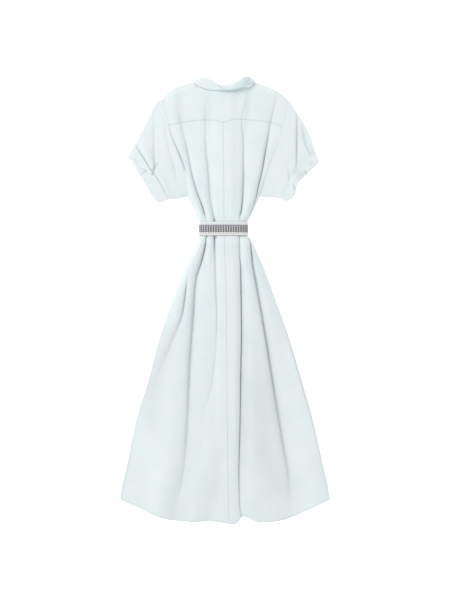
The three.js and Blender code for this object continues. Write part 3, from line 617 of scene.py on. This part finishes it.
def make_mesh(name, points, faces, material, painted_light_and_shade=None, rim=0):
    """One piece of the dress; its last faces are the rim, shaded flat."""
    mesh = bpy.data.meshes.new(name)
    mesh.from_pydata(((np.asarray(points) + SHIFT) * MM).tolist(), [], faces)
    mesh.materials.append(material)
    smooth = np.arange(len(faces)) < len(faces) - rim
    mesh.polygons.foreach_set("use_smooth", smooth)
    # Painted light and shade: a point attribute that scales the cloth's colour
    if painted_light_and_shade is not None:
        layer = mesh.attributes.new("painted_light_and_shade", "FLOAT", "POINT")
        layer.data.foreach_set("value", painted_light_and_shade)
    mesh.update()
    piece = bpy.data.objects.new(name, mesh)
    bpy.context.scene.collection.objects.link(piece)
    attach(piece, "root")
    return piece


def strip(one, two):
    """Faces between neighbouring lines of point numbers."""
    return np.stack([one[..., :-1], one[..., 1:], two[..., 1:], two[..., :-1]], -1).reshape(-1, 4)


def wall_faces(rows, cols, closed):
    """Faces of a closed shell between two grids, the outer one first, and how many are its rim."""
    top = np.arange(rows * cols).reshape(rows, cols)
    if closed:
        top = np.concatenate([top, top[:, :1]], 1)
    base = top + rows * cols
    outer = strip(top[:-1], top[1:])
    rim = [strip(top[0, ::-1], base[0, ::-1])[::-1], strip(top[-1], base[-1])]
    if not closed:
        rim += [strip(top[:, 0], base[:, 0]), strip(top[::-1, -1], base[::-1, -1])[::-1]]
    faces = [outer, outer[:, ::-1] + rows * cols, *rim]
    return np.concatenate(faces).tolist(), sum(len(part) for part in rim)


def both_sides(painted_light_and_shade):
    return np.concatenate([np.ravel(painted_light_and_shade), np.ones(np.size(painted_light_and_shade))])


def make_wall(name, outer, inner, material, painted_light_and_shade=None, closed=False):
    """Wall between two grids of points, which may close into a ring."""
    points = np.concatenate([outer.reshape(-1, 3), inner.reshape(-1, 3)])
    faces, rim = wall_faces(*outer.shape[:2], closed)
    return make_mesh(name, points, faces, material, painted_light_and_shade, rim)


def shell(name, x, y, top, under, painted_light_and_shade=None):
    """Wall of dress cloth over a plan grid."""
    outer, inner = np.stack([x, y, top], -1), np.stack([x, y, under], -1)
    painted_light_and_shade = both_sides(np.ones_like(x) if painted_light_and_shade is None else painted_light_and_shade)
    return make_wall(name, outer, inner, CLOTH_MATERIAL, painted_light_and_shade)


def spaced(marks, counts):
    """Values from mark to mark, with that many spans between each two."""
    parts = [np.linspace(a, b, n, endpoint=False) for a, b, n in zip(marks, marks[1:], counts)]
    return np.concatenate(parts + [np.array([marks[-1]], float)])


def to_neck(y, between, corner):
    return mix(between, corner, step(YOKE_SIDE, SHOULDER, y))


def lines_left(y):
    """Places of the left back's grid lines at a height of the plan, from the side to the seam."""
    a, b = FOLDS["a"], FOLDS["b"]
    ax, bx = a["x"](y), b["x"](y)
    edge = BODY["left"](y)
    reach = reach_left(y)
    soft = np.maximum(edge + EDGE + 1, diagonal_x(y))
    between = (ax + a["right"](y) + bx - b["left"](y)) / 2
    return [
        edge, edge + EDGE, (edge + EDGE + soft) / 2, soft, reach, ax - a["left"](y), ax,
        ax + a["right"](y), to_neck(y, between, -NECK_CORNER), bx - b["left"](y), bx,
        bx + np.minimum(b["right"](y), 6), BODY["seam"](y) - PLACKET["half"] - 1.5,
        BODY["seam"](y) - SEAM / 2,
    ]


def lines_right(y):
    """Places of the right back's grid lines, from the seam to the side."""
    c, d = FOLDS["c"], FOLDS["d"]
    cx, dx = c["x"](y), d["x"](y)
    edge = BODY["right"](y)
    reach = np.minimum(reach_right(y), edge - EDGE - 0.5)
    bank = np.minimum(dx + d["right"](y), mix(dx, reach, 0.6))
    between = (cx + c["right"](y) + dx - d["left"](y)) / 2
    return [
        BODY["seam"](y) + SEAM / 2, BODY["seam"](y) + PLACKET["half"] + 1.5, cx - c["left"](y), cx,
        cx + c["right"](y), to_neck(y, between, NECK_CORNER), dx - d["left"](y), dx,
        bank, reach, (reach + edge - EDGE) / 2, edge - EDGE, edge,
    ]


def fine_lines(lines, spans, coarse=1):
    """The grid lines with more lines between them."""
    counts = [max(1, n // coarse) for n in spans]

    def at(y):
        marks = lines(y)
        parts = [
            mix(a, b, share)
            for a, b, n in zip(marks, marks[1:], counts)
            for share in np.arange(n) / n
        ]
        return np.stack(parts + [marks[-1]], -1)

    return at


def body_grid(lines, hem, coarse=1):
    """Plan grid from the yoke seam to a hem."""
    marks, counts = BODY_ROWS
    rows = spaced(marks, [n // coarse for n in counts])[:, None]
    first, last = marks[0], marks[-1]
    start = YOKE_SEAM(lines(np.array([float(first)])))[0] - SEAM
    end = hem(lines(np.array([float(HEM_AT_SEAM)])))[0]
    upper = rows + (start - first) * step(300, first, rows)
    lower = rows + (end - last) * (1 - step(last, -120, rows))
    y = np.where(rows > 0, upper, lower)
    columns = np.arange(y.shape[1])
    x = np.stack([lines(y[:, j])[:, j] for j in columns], 1)
    x[0] = lines(np.array([float(first)]))[0]
    return x, y


def yoke_grid(lines, top, drop, rows):
    """Plan grid from the yoke seam, or so far from it, up to a top edge."""
    low = lines(np.array([float(YOKE_SIDE)]))[0]
    high = lines(np.array([float(SHOULDER)]))[0]
    share = np.linspace(0, 1, rows)[:, None]
    y = mix(YOKE_SEAM(low)[None] + drop, top(high)[None], share)
    return mix(low[None], high[None], share), y


# Materials
def socket(node, name, value):
    node.inputs[name].default_value = value


def new_material(name, roughness, sheen=0.0):
    material = bpy.data.materials.new(name)
    material.use_nodes = True
    shader = material.node_tree.nodes["Principled BSDF"]
    socket(shader, "Roughness", roughness)
    socket(shader, "Sheen Weight", sheen)
    socket(shader, "Sheen Roughness", 0.5)
    socket(shader, "Specular IOR Level", 0.25)
    return material, material.node_tree, shader


def add_node(tree, kind, **values):
    node = tree.nodes.new(kind)
    for name, value in values.items():
        setattr(node, name, value)
    return node


def colour_ramp(tree, source, *stops):
    """Colour that runs through stops of a place and a colour each."""
    ramp = add_node(tree, "ShaderNodeValToRGB")
    for _ in stops[2:]:
        ramp.color_ramp.elements.new(0.5)
    for element, (at, colour) in zip(ramp.color_ramp.elements, stops):
        element.position = at
        element.color = (*colour, 1)
    tree.links.new(source, ramp.inputs["Fac"])
    return ramp.outputs["Color"]


def on_object(tree):
    return add_node(tree, "ShaderNodeTexCoord").outputs["Object"]


def noise(tree, where, scale, detail=2):
    node = add_node(tree, "ShaderNodeTexNoise")
    socket(node, "Scale", scale)
    socket(node, "Detail", detail)
    tree.links.new(where, node.inputs["Vector"])
    return node.outputs["Fac"]


def math_node(tree, operation, a, b=None):
    node = add_node(tree, "ShaderNodeMath", operation=operation)
    for i, value in enumerate((a, b)):
        if value is None:
            continue
        if isinstance(value, (int, float)):
            node.inputs[i].default_value = value
        else:
            tree.links.new(value, node.inputs[i])
    return node.outputs[0]


def bump(tree, height, distance, strength, normal=None):
    node = add_node(tree, "ShaderNodeBump")
    socket(node, "Distance", distance)
    socket(node, "Strength", strength)
    tree.links.new(height, node.inputs["Height"])
    if normal is not None:
        tree.links.new(normal, node.inputs["Normal"])
    return node.outputs["Normal"]


def cloth_material():
    """Plain light weave, slightly cloudy, darkened by painted shade and lightened by painted light at
    each point.
    """
    material, tree, shader = new_material("cloth", 0.88, 0.12)
    where = on_object(tree)
    colour = colour_ramp(tree, noise(tree, where, 14, 4), (0.3, CLOTH_SHADE), (0.6, CLOTH_COLOUR))
    # Painted light and shade from each point's attribute scale the base colour
    painted_light_and_shade = add_node(tree, "ShaderNodeAttribute", attribute_name="painted_light_and_shade")
    painted_base_colour = add_node(tree, "ShaderNodeVectorMath", operation="SCALE")
    tree.links.new(colour, painted_base_colour.inputs[0])
    tree.links.new(painted_light_and_shade.outputs["Fac"], painted_base_colour.inputs["Scale"])
    tree.links.new(painted_base_colour.outputs["Vector"], shader.inputs["Base Color"])
    threads = []
    for axis, turn in (("X", (1, 0.05, 1)), ("Y", (0.05, 1, 1))):
        stretch = add_node(tree, "ShaderNodeMapping")
        socket(stretch, "Scale", turn)
        tree.links.new(where, stretch.inputs["Vector"])
        wave = add_node(tree, "ShaderNodeTexWave", wave_type="BANDS", bands_direction=axis)
        socket(wave, "Scale", 320)
        socket(wave, "Distortion", 1.5)
        socket(wave, "Detail", 2)
        tree.links.new(stretch.outputs["Vector"], wave.inputs["Vector"])
        threads.append(wave.outputs["Fac"])
    weave = math_node(tree, "ADD", *threads)
    soft = bump(tree, noise(tree, where, 60, 5), 0.0012, 0.35)
    tree.links.new(bump(tree, weave, 0.00012, 0.35, soft), shader.inputs["Normal"])
    return material


def belt_material():
    """Webbing: light edges and a dark band with rows of small light diamonds."""
    material, tree, shader = new_material("belt_webbing", 0.8, 0.1)
    uv = add_node(tree, "ShaderNodeUVMap", uv_map="webbing").outputs["UV"]
    parts = add_node(tree, "ShaderNodeSeparateXYZ")
    tree.links.new(uv, parts.inputs["Vector"])
    along, across = parts.outputs["X"], parts.outputs["Y"]

    def triangle(value, period, start):
        turns = math_node(tree, "DIVIDE", math_node(tree, "SUBTRACT", value, start), period)
        part = math_node(tree, "FRACT", turns)
        return math_node(tree, "ABSOLUTE", math_node(tree, "SUBTRACT", part, 0.5))

    def within(low, high):
        past = math_node(tree, "GREATER_THAN", across, low)
        return math_node(tree, "MULTIPLY", past, math_node(tree, "LESS_THAN", across, high))

    def blended(factor, one, two):
        blend = add_node(tree, "ShaderNodeMix", data_type="RGBA")
        tree.links.new(factor, blend.inputs["Factor"])
        for name, colour in (("A", one), ("B", two)):
            if isinstance(colour, tuple):
                blend.inputs[name].default_value = (*colour, 1)
            else:
                tree.links.new(colour, blend.inputs[name])
        return blend.outputs["Result"]

    lattice = math_node(tree, "ADD", triangle(along, DIAMOND["wide"], 0),
                        triangle(across, DIAMOND["tall"], DIAMOND["row"]))
    weave = colour_ramp(tree, lattice, *((at, THREADS[name]) for at, name in WEAVE_STOPS))
    to_end = math_node(tree, "SUBTRACT", BELT_END["start"], along)
    fade = math_node(tree, "DIVIDE", to_end, BELT_END["fade"])
    band = blended(fade, weave, THREADS["end"])
    in_band = within(DIAMOND["first"], DIAMOND["last"])
    in_lines = math_node(tree, "ADD", *(within(*span) for span in EDGE_LINES))
    # Painted shade: a darker strip along the lower edge, in the hem colour
    in_lower_painted_shade = math_node(tree, "GREATER_THAN", across, LOWER_EDGE_PAINTED_SHADE)
    margin = blended(in_lower_painted_shade, THREADS["edge"], THREADS["hem"])
    margin = blended(in_lines, margin, THREADS["line"])
    tree.links.new(blended(in_band, margin, band), shader.inputs["Base Color"])
    rib = add_node(tree, "ShaderNodeTexWave", wave_type="BANDS", bands_direction="X")
    socket(rib, "Scale", 0.3)
    socket(rib, "Distortion", 0.6)
    tree.links.new(uv, rib.inputs["Vector"])
    height = math_node(tree, "ADD", rib.outputs["Fac"], lattice)
    tree.links.new(bump(tree, height, 0.0004, 0.5), shader.inputs["Normal"])
    return material


def button_material():
    material, tree, shader = new_material("button_shell", 0.32)
    cloud = noise(tree, on_object(tree), 180)
    colour = colour_ramp(tree, cloud, *zip((0.3, 0.7), BUTTON_COLOURS))
    tree.links.new(colour, shader.inputs["Base Color"])
    return material


def thread_material():
    material, tree, shader = new_material("sewing_thread", 0.7)
    twist = noise(tree, on_object(tree), 900)
    colour = colour_ramp(tree, twist, *zip((0.3, 0.7), STITCH_COLOURS))
    tree.links.new(colour, shader.inputs["Base Color"])
    return material


CLOTH_MATERIAL = cloth_material()
BELT_MATERIAL = belt_material()
BUTTON_MATERIAL = button_material()
THREAD_MATERIAL = thread_material()


# Body panels
def make_panel(name, lines, spans):
    x, y = body_grid(fine_lines(lines, spans), BACK_HEM)
    top = back_top(x, y)
    return shell(name, x + lean(x, y), y, top, top - CLOTH, back_painted_light_and_shade(x, y))


def make_yoke():
    left, ly = yoke_grid(fine_lines(lines_left, SPANS_LEFT), TOP_EDGE, 0, YOKE_ROWS)
    right, ry = yoke_grid(fine_lines(lines_right, SPANS_RIGHT), TOP_EDGE, 0, YOKE_ROWS)
    x = np.concatenate([left[:, :-1], right[:, 1:]], 1)
    y = np.concatenate([ly[:, :-1], ry[:, 1:]], 1)
    top = back_top(x, y)
    return shell("back_yoke_cloth", x, y, top, top - CLOTH, back_painted_light_and_shade(x, y))


def front_grid(lines, top, neck_rows, coarse):
    """Plan grid from a front's neck down to its hem."""
    x, y = body_grid(lines, front_hem, coarse)
    neck_x, neck_y = yoke_grid(lines, top, -GAP, neck_rows)
    return np.concatenate([neck_x[:0:-1], x]), np.concatenate([neck_y[:0:-1], y])


def make_front(name, lines, spans):
    x, y = front_grid(fine_lines(lines, spans, 2), front_top, FRONT_NECK_ROWS, 2)
    under = front_under(x, y)
    return shell(name, x, y, under + CLOTH, under)


def make_placket():
    def edges(y):
        seam = BODY["seam"](y)
        half = PLACKET["half"]
        return np.stack([seam - half, seam - half + 1, seam, seam + half - 1, seam + half], -1)

    x, y = front_grid(edges, lambda q: front_top(q) - 5 * GAP, PLACKET_NECK_ROWS, 4)
    under = placket_lift(y)
    return shell("placket_cloth", x, y, under + PLACKET["thick"], under)


# Belt
def make_belt():
    rows, count = BELT_GRID
    turn = 2 * math.pi * (np.arange(count) + 0.5) / count

    def ring(inset):
        up = np.sin(turn) > 0
        power = 2 / np.where(up, BELT_OVER, BELT_UNDER)
        reach = np.where(up, BELT["top"] - BELT["side"], BELT["side"]) - inset
        x = np.sign(np.cos(turn)) * np.abs(np.cos(turn)) ** power
        z = np.sign(np.sin(turn)) * np.abs(np.sin(turn)) ** power
        return BELT["x"] + x * (BELT["half"] - inset), BELT["side"] + z * reach

    def grid(inset, wear):
        x, z = ring(inset)
        share = np.linspace(-0.5, 0.5, rows)[:, None]
        worn = wear * np.abs(2 * share) ** 6 * np.sign(z - BELT["side"])
        y = BELT["y"] + share * BELT["width"]
        return np.stack(np.broadcast_arrays(x, y, z - worn), -1)

    outer, inner = grid(0, BELT["wear"]), grid(BELT["thick"], 0)
    belt = make_wall("belt_webbing_loop", outer, inner, BELT_MATERIAL, closed=True)
    x, z = ring(0)
    lengths = np.hypot(np.diff(x, append=x[0]), np.diff(z, append=z[0]))
    along = np.concatenate([[0], np.cumsum(lengths)])
    corners = np.array([face.vertices[:] for face in belt.data.polygons]) % (rows * count)
    column, row = corners % count, corners // count
    past_end = (column == count - 1).any(1, keepdims=True) & (column == 0)
    across = BELT["width"] * (1 - row / (rows - 1))
    webbing = np.stack([np.where(past_end, along[-1], along[column]), across], -1)
    belt.data.uv_layers.new(name="webbing").data.foreach_set("uv", webbing.ravel())
    return belt


# Sleeves and cuffs
SLEEVES = {
    "left": dict(
        side=-1,
        lip=1,
        top=[(-190, 575), (-203, 563), (-214, 540), (-236, 496), (-256, 455)],
        under=[(-135, 291), (-163, 292)],
        rim=[(-259, 450), (-248, 429), (-231, 403), (-213, 374), (-202, 360), (-184, 331),
             (-161, 289)],
        mouth=[(-281, 410), (-265, 397), (-254, 371), (-234, 339), (-216, 307), (-199, 286),
               (-187, 280)],
        folds=[
            curves(FOLD, [(560, -203, 0.1, 7, 6), (500, -204, 0.6, 8, 6), (430, -204, 0.85, 8, 6),
                          (395, -202, 0.9, 6, 5), (370, -204, 0.3, 6, 5)]),
            curves(FOLD, [(580, -172, 0.1, 6, 6), (520, -172, 0.4, 6, 6), (437, -161, 0.45, 6, 6),
                          (380, -144, 0.6, 8, 8), (340, -138, 0.2, 8, 8)]),
        ],
    ),
    "right": dict(
        side=1,
        lip=0,
        top=[(193, 568), (209, 542), (225, 518), (248, 473), (259, 439)],
        under=[(132, 296), (162, 293)],
        rim=[(261, 435), (240, 409), (218, 384), (198, 363), (187, 339), (178, 313), (163, 290)],
        mouth=[(274, 401), (265, 388.5), (246, 371.5), (236, 359.5), (219.5, 345), (210.5, 331),
               (206, 313), (198.5, 296), (180, 285)],
        folds=[
            curves(FOLD, [(560, 209, 0.3, 4, 3), (530, 211, 0.8, 4, 3), (440, 211, 0.9, 4, 3),
                          (380, 210, 0.9, 4, 3), (360, 209, 0.3, 4, 3)]),
            curves(FOLD, [(510, 225, 0.1, 4, 4), (490, 228, 0.6, 4, 4), (446, 236, 0.7, 4, 4),
                          (420, 250, 0.5, 4, 4), (405, 258, 0.1, 4, 4)]),
            curves(FOLD, [(420, 178, 0.0, 4, 4), (400, 180, 0.2, 5, 4), (360, 186, 0.4, 5, 4),
                          (335, 188, 0.1, 5, 4)]),
        ],
    ),
}


def plan_line(points):
    """Smooth line through a few plan points, evenly run from 0 to 1."""
    points = np.array(points, float)
    ends = np.concatenate([[2 * points[0] - points[1]], points, [2 * points[-1] - points[-2]]])
    fine = []
    for p0, p1, p2, p3 in zip(ends, ends[1:], ends[2:], ends[3:]):
        t = np.linspace(0, 1, 24, endpoint=False)[:, None]
        fine.append(0.5 * (2 * p1 + (p2 - p0) * t + (2 * p0 - 5 * p1 + 4 * p2 - p3) * t ** 2
                           + (3 * p1 - p0 - 3 * p2 + p3) * t ** 3))
    line = np.concatenate(fine + [points[-1:]])
    run = np.concatenate([[0], np.cumsum(np.hypot(*np.diff(line, axis=0).T))])
    run /= run[-1]

    def at(share):
        share = np.clip(share, 0, 1)
        return np.stack([np.interp(share, run, line[:, 0]), np.interp(share, run, line[:, 1])], -1)

    return at


def armhole(sleeve, count):
    """Points down the armhole, from the shoulder to the underarm."""
    edge = BODY["left"] if sleeve["side"] < 0 else BODY["right"]
    x_top = edge(SHOULDER)
    rows = np.linspace(TOP_EDGE(x_top), UNDERARM, count)
    x = edge(np.minimum(rows, SHOULDER)) + sleeve["side"] * SEAM
    return np.stack([x, rows], -1)


def tube(name, plan, upper, lower, thickness, painted_light_and_shade):
    """Flattened tube: rows of plan points with an upper and a lower height."""
    def ring(inset):
        points = plan.copy()
        for edge, inner in ((0, 1), (-1, -2)):
            run = np.linalg.norm(points[:, inner] - points[:, edge], axis=1, keepdims=True)
            inset_here = np.broadcast_to(inset, upper.shape)[:, edge, None]
            away = np.minimum(1, inset_here / np.maximum(run, 1e-6))
            points[:, edge] = mix(points[:, edge], points[:, inner], 0.6 * away)
        high = np.concatenate([points, (upper - inset)[..., None]], -1)
        low = np.concatenate([points, (lower + inset)[..., None]], -1)
        return np.concatenate([high, low[:, ::-1]], 1)

    painted_light_and_shade = both_sides(np.concatenate([painted_light_and_shade, np.ones_like(painted_light_and_shade)], 1))
    return make_wall(name, ring(0), ring(thickness), CLOTH_MATERIAL, painted_light_and_shade, True)


def crowd(count):
    """Shares from 0 to 1, closer together at both ends."""
    t = np.linspace(0, 1, count)
    return mix(t, 0.5 - 0.5 * np.cos(math.pi * t), 0.7)


def make_sleeve(name, sleeve):
    """Sleeve from the armhole into the cuff, with folds, a billow and a tuck at its end."""
    shares = crowd(SLEEVE_COLUMNS)
    seam_line = armhole(sleeve, 200)
    run = np.linspace(0, 1, len(seam_line))
    seam = np.stack([np.interp(shares, run, seam_line[:, i]) for i in (0, 1)], -1)
    rim, mouth = plan_line(sleeve["rim"]), plan_line(sleeve["mouth"])
    rim_length = np.linalg.norm(rim(0.0) - rim(1.0))
    trim = CUFF["inset"] / rim_length
    trimmed = mix(trim, 1 - trim, shares)
    entry = mix(rim(trimmed), mouth(trimmed), 0.04)
    end = mix(rim(trimmed), mouth(trimmed), CUFF["depth"])
    top_line = plan_line([seam[0], *sleeve["top"], entry[0]])
    under_line = plan_line([seam[-1], *sleeve["under"], entry[-1]])
    t = spaced(*SLEEVE_ROWS)
    plan = np.zeros((len(t), SLEEVE_COLUMNS, 2))
    for i, share in enumerate(t):
        along = mix(seam, entry, share)
        bow_top = top_line(share) - mix(seam[0], entry[0], share)
        bow_under = under_line(share) - mix(seam[-1], entry[-1], share)
        plan[i] = along + mix(bow_top, bow_under, shares[:, None])
    x, y = plan[..., 0], plan[..., 1]
    tt, ss = t[:, None], shares[None]
    lower = np.broadcast_to((CUFF_WALL + 0.4) * step(0.5, 0.88, tt), x.shape)
    layers = 2 * CAD_CLOTH + GAP
    across = np.sin(math.pi * np.clip(ss, 0, 1)) ** 0.5
    crest = mix(armhole_lift(seam[:, 1])[None], SLEEVE_RISE * across, step(0, 0.5, tt))
    share = np.ones_like(x)
    for fold in sleeve["folds"]:
        share = share * valley(fold, x, y)
    share = mix(1, share, step(0, 0.1, tt))
    room = (CUFF["height"] - 2 * CUFF_WALL - 1.1 - layers) * across
    settle = mix(0.45, 0.8, sleeve["lip"])
    puff = mix(crest * share, np.maximum(0, room), step(settle, 1, tt))
    billow = 2.2 * sleeve["lip"] * bell(tt - 0.82, 0.12) * across * share
    billow = billow * (1 - step(0.9, 0.985, tt))
    tuck = sleeve["lip"] * 2 * bell(tt - 0.975, 0.03) * across
    raised = np.maximum(0.1, puff + billow - tuck - creases(x, y))
    upper = lower + layers + raised
    # Painted shade in the fold valleys and creases, and along the left sleeve's end at the cuff
    painted_light_and_shade = 1 - 0.1 * (1 - share) - crease_painted_shade(x, y)
    painted_light_and_shade = painted_light_and_shade - 0.1 * sleeve["lip"] * bell(tt - 0.985, 0.02)
    plan = np.concatenate([plan, end[None]])
    upper = np.concatenate([upper, upper[-1:]])
    lower = np.concatenate([lower, lower[-1:]])
    painted_light_and_shade = np.concatenate([painted_light_and_shade, painted_light_and_shade[-1:]])
    return tube(name, plan, upper, lower, CLOTH, painted_light_and_shade)


def make_cuff(name, sleeve):
    """Turned-up cuff from its rim to the mouth of the sleeve."""
    rim, mouth = plan_line(sleeve["rim"]), plan_line(sleeve["mouth"])
    shares = crowd(CUFF_COLUMNS)
    depth = spaced(*CUFF_ROWS)
    plan = np.stack([mix(rim(shares), mouth(shares), d) for d in depth])
    crown = CUFF["height"] - CUFF["rounding"] * np.abs(2 * shares - 1)[None] ** 4
    d = depth[:, None]
    flush = (1 - sleeve["lip"]) * (1 - step(0, 0.85, d))
    rounded = 1.3 * (bell(d, 0.035) * sleeve["lip"] + bell(d - 1, 0.05))
    waved = 0.4 * np.sin(shares[None] * 31 + 6 * d) * step(0, 0.15, d) * (1 - step(0.85, 1, d))
    pressed = np.minimum(creases(plan[..., 0], plan[..., 1]), 4.5)
    upper = crown - rounded + waved - 0.5 * step(0.9, 1, d) - 2.1 * flush - pressed
    lower = np.broadcast_to(0.3 * (bell(d, 0.03) + bell(d - 1, 0.04)), upper.shape)
    thick = CUFF_WALL - 1.4 * flush - 0.25 * pressed
    # Painted shade in the cuff's creases
    return tube(name, plan, upper, lower, thick, 1 - CREASE_PAINTED_SHADE * pressed)


# Collar band
def make_collar():
    half = BAND_WALL / 2
    levels, count = COLLAR_GRID
    rows = np.array(COLLAR, float)
    knots = np.linspace(0, 1, len(rows))
    fine = np.linspace(0, 1, count)
    columns = [curve(list(zip(knots, rows[:, i])))(fine) for i in range(6)]
    seam, free = np.stack(columns[:3], -1), np.stack(columns[3:], -1)
    at_back = step(6.6, 7.8, seam[:, 2])
    on_yoke = TOP_EDGE(seam[:, 0]) + half + SEAM
    seam[:, 1] = mix(seam[:, 1], on_yoke, at_back)
    level = np.linspace(0, 1, levels)[:, None, None]
    middle = mix(seam[None], free[None], level)
    around = np.gradient(middle, axis=1)
    up = np.gradient(middle, axis=0)
    normal = np.cross(around, up)
    normal /= np.linalg.norm(normal, axis=2, keepdims=True)
    thin = half * (1 - 0.35 * (bell(level, 0.05) + bell(level - 1, 0.05)))
    outer, inner = middle + normal * thin, middle - normal * thin
    # Painted light: two stretches of the band's loop are lighter in colour
    painted_light = 1 + 0.05 * step(0.6, 0.74, fine) + 0.07 * step(0.84, 0.94, fine)
    painted_light_and_shade = np.tile(painted_light, 2 * levels)
    return make_wall("collar_band_cloth", outer, inner, CLOTH_MATERIAL, painted_light_and_shade)


# Stitches
def stitches(name, lines):
    """Small stitches along lines of points, each lying on the cloth."""
    points, faces = [], []
    radius = STITCH["radius"]
    for line in lines:
        run = np.concatenate([[0], np.cumsum(np.linalg.norm(np.diff(line, axis=0), axis=1))])
        starts = np.arange(STITCH["pitch"], run[-1] - STITCH["pitch"], STITCH["pitch"])
        for start in starts:
            ends = [np.array([np.interp(q, run, line[:, i]) for i in range(3)])
                    for q in (start, start + STITCH["length"] / 2, start + STITCH["length"])]
            ahead = ends[2] - ends[0]
            ahead /= np.linalg.norm(ahead)
            side = np.cross(ahead, (0, 0, 1))
            side /= max(np.linalg.norm(side), 1e-6)
            up = np.cross(side, ahead)
            base = len(points)
            for centre, size, lift in zip(ends, (0.35, 1, 0.35), (-0.1, 0.15, -0.1)):
                for k in range(4):
                    turn = math.pi * (k + 0.5) / 2
                    points.append(centre + radius * size * (side * math.cos(turn)
                                                            + up * math.sin(turn)) + up * lift)
            for ring in (0, 4):
                for k in range(4):
                    n = (k + 1) % 4
                    faces.append((base + ring + k, base + ring + n, base + ring + 4 + n,
                                  base + ring + 4 + k))
            faces.append((base + 3, base + 2, base + 1, base))
            faces.append((base + 8, base + 9, base + 10, base + 11))
    return make_mesh(name, points, faces, THREAD_MATERIAL)


def on_back(x, y):
    return np.stack([x, y, back_top(x, y) + 0.05], -1)


def body_stitches():
    """One row over the yoke seam and one over the hem, on both sides of the centre seam."""
    x = np.linspace(-158, 166, 700)
    yoke_row = on_back(x, YOKE_SEAM(x) + STITCH_LINES["yoke"])
    x = np.linspace(-296, 299, 1200)
    x = x[np.abs(x - BODY["seam"](HEM_AT_SEAM)) > 2]
    return [yoke_row, on_back(x, BACK_HEM(x) + STITCH_LINES["hem"])]


def neck_stitches():
    x = np.linspace(-80, 80, 300)
    return [on_back(x, TOP_EDGE(x) - STITCH_LINES["neck"])]


# Buttons
def make_button(node):
    """Shallow disc with a raised rim, placed on its solid in the part."""
    low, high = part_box(node)
    radius = (high[0] - low[0]) / 2 / MM
    cx = (high[0] + low[0]) / 2 / MM - SHIFT[0]
    cy = (high[1] + low[1]) / 2 / MM - SHIFT[1]
    count = BUTTON_SIDES
    turn = 2 * math.pi * np.arange(count) / count
    points, faces = [], []
    for share, z in BUTTON_PROFILE:
        reach = max(share, 0.02) * radius
        points += [(cx + reach * math.cos(q), cy + reach * math.sin(q), z) for q in turn]
    for i in range(len(BUTTON_PROFILE) - 1):
        for k in range(count):
            n = (k + 1) % count
            faces.append((i * count + n, i * count + k, (i + 1) * count + k, (i + 1) * count + n))
    faces.append(tuple(range(count)))
    last = len(points) - 1
    faces.append(tuple(range(last, last - count, -1)))
    return make_mesh(node + "_disc", points, faces, BUTTON_MATERIAL)


def declare(piece, node):
    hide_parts(node)


def build():
    back_stitching = stitches("back_stitching", body_stitches())
    neck_stitching = stitches("neck_stitching", neck_stitches())
    front_left = make_front("front_left_cloth", lines_left, SPANS_LEFT)
    front_right = make_front("front_right_cloth", lines_right, SPANS_RIGHT)
    declare(front_left, "front_left")
    declare(front_right, "front_right")
    declare(make_placket(), "placket")
    back_left = make_panel("back_left_cloth", lines_left, SPANS_LEFT)
    back_right = make_panel("back_right_cloth", lines_right, SPANS_RIGHT)
    declare(back_left, "back_left")
    declare(back_right, "back_right")
    yoke = make_yoke()
    declare(yoke, "back_yoke")
    declare(make_collar(), "collar_band")
    for side, sleeve in SLEEVES.items():
        declare(make_cuff(f"cuff_{side}_cloth", sleeve), f"cuff_{side}")
        declare(make_sleeve(f"sleeve_{side}_cloth", sleeve), f"sleeve_{side}")
    declare(make_belt(), "belt")
    for i in range(BUTTON_COUNT):
        node = f"button_{i + 1:02d}"
        declare(make_button(node), node)


# Floor, camera and light
def make_floor():
    half, z = FLOOR["half"], FLOOR["z"]
    mesh = bpy.data.meshes.new("floor")
    corners = [(-half, -half, z), (half, -half, z), (half, half, z), (-half, half, z)]
    mesh.from_pydata(corners, [], [(0, 1, 2, 3)])
    material, _, shader = new_material("floor_white", 0.9)
    socket(shader, "Base Color", (*[FLOOR["colour"]] * 3, 1))
    socket(shader, "Emission Color", (1, 1, 1, 1))
    socket(shader, "Emission Strength", FLOOR["glow"])
    socket(shader, "Specular IOR Level", 0.0)
    mesh.materials.append(material)
    floor = bpy.data.objects.new("floor", mesh)
    bpy.context.scene.collection.objects.link(floor)


def make_camera():
    data = bpy.data.cameras.new("camera")
    data.sensor_fit = "VERTICAL"
    data.sensor_height = SENSOR
    data.lens = SENSOR * CAMERA_HEIGHT / VIEW_HEIGHT
    data.clip_end = 50
    camera = bpy.data.objects.new("camera", data)
    camera.location = (0, 0, CAMERA_HEIGHT)
    bpy.context.scene.collection.objects.link(camera)
    bpy.context.scene.camera = camera


def make_light(name, at, size, energy):
    data = bpy.data.lights.new(name, "AREA")
    data.shape = "DISK"
    data.size = size
    data.energy = energy
    light = bpy.data.objects.new(name, data)
    light.location = at
    light.rotation_euler = (-Vector(at)).to_track_quat("-Z", "Y").to_euler()
    bpy.context.scene.collection.objects.link(light)


def make_world():
    world = bpy.data.worlds.new("studio")
    world.use_nodes = True
    background = world.node_tree.nodes["Background"]
    socket(background, "Color", (1, 1, 1, 1))
    socket(background, "Strength", WORLD_STRENGTH)
    bpy.context.scene.world = world


build()
make_floor()
make_camera()
make_world()
make_light("key", **KEY_LIGHT)
bpy.context.scene.view_settings.view_transform = "Standard"
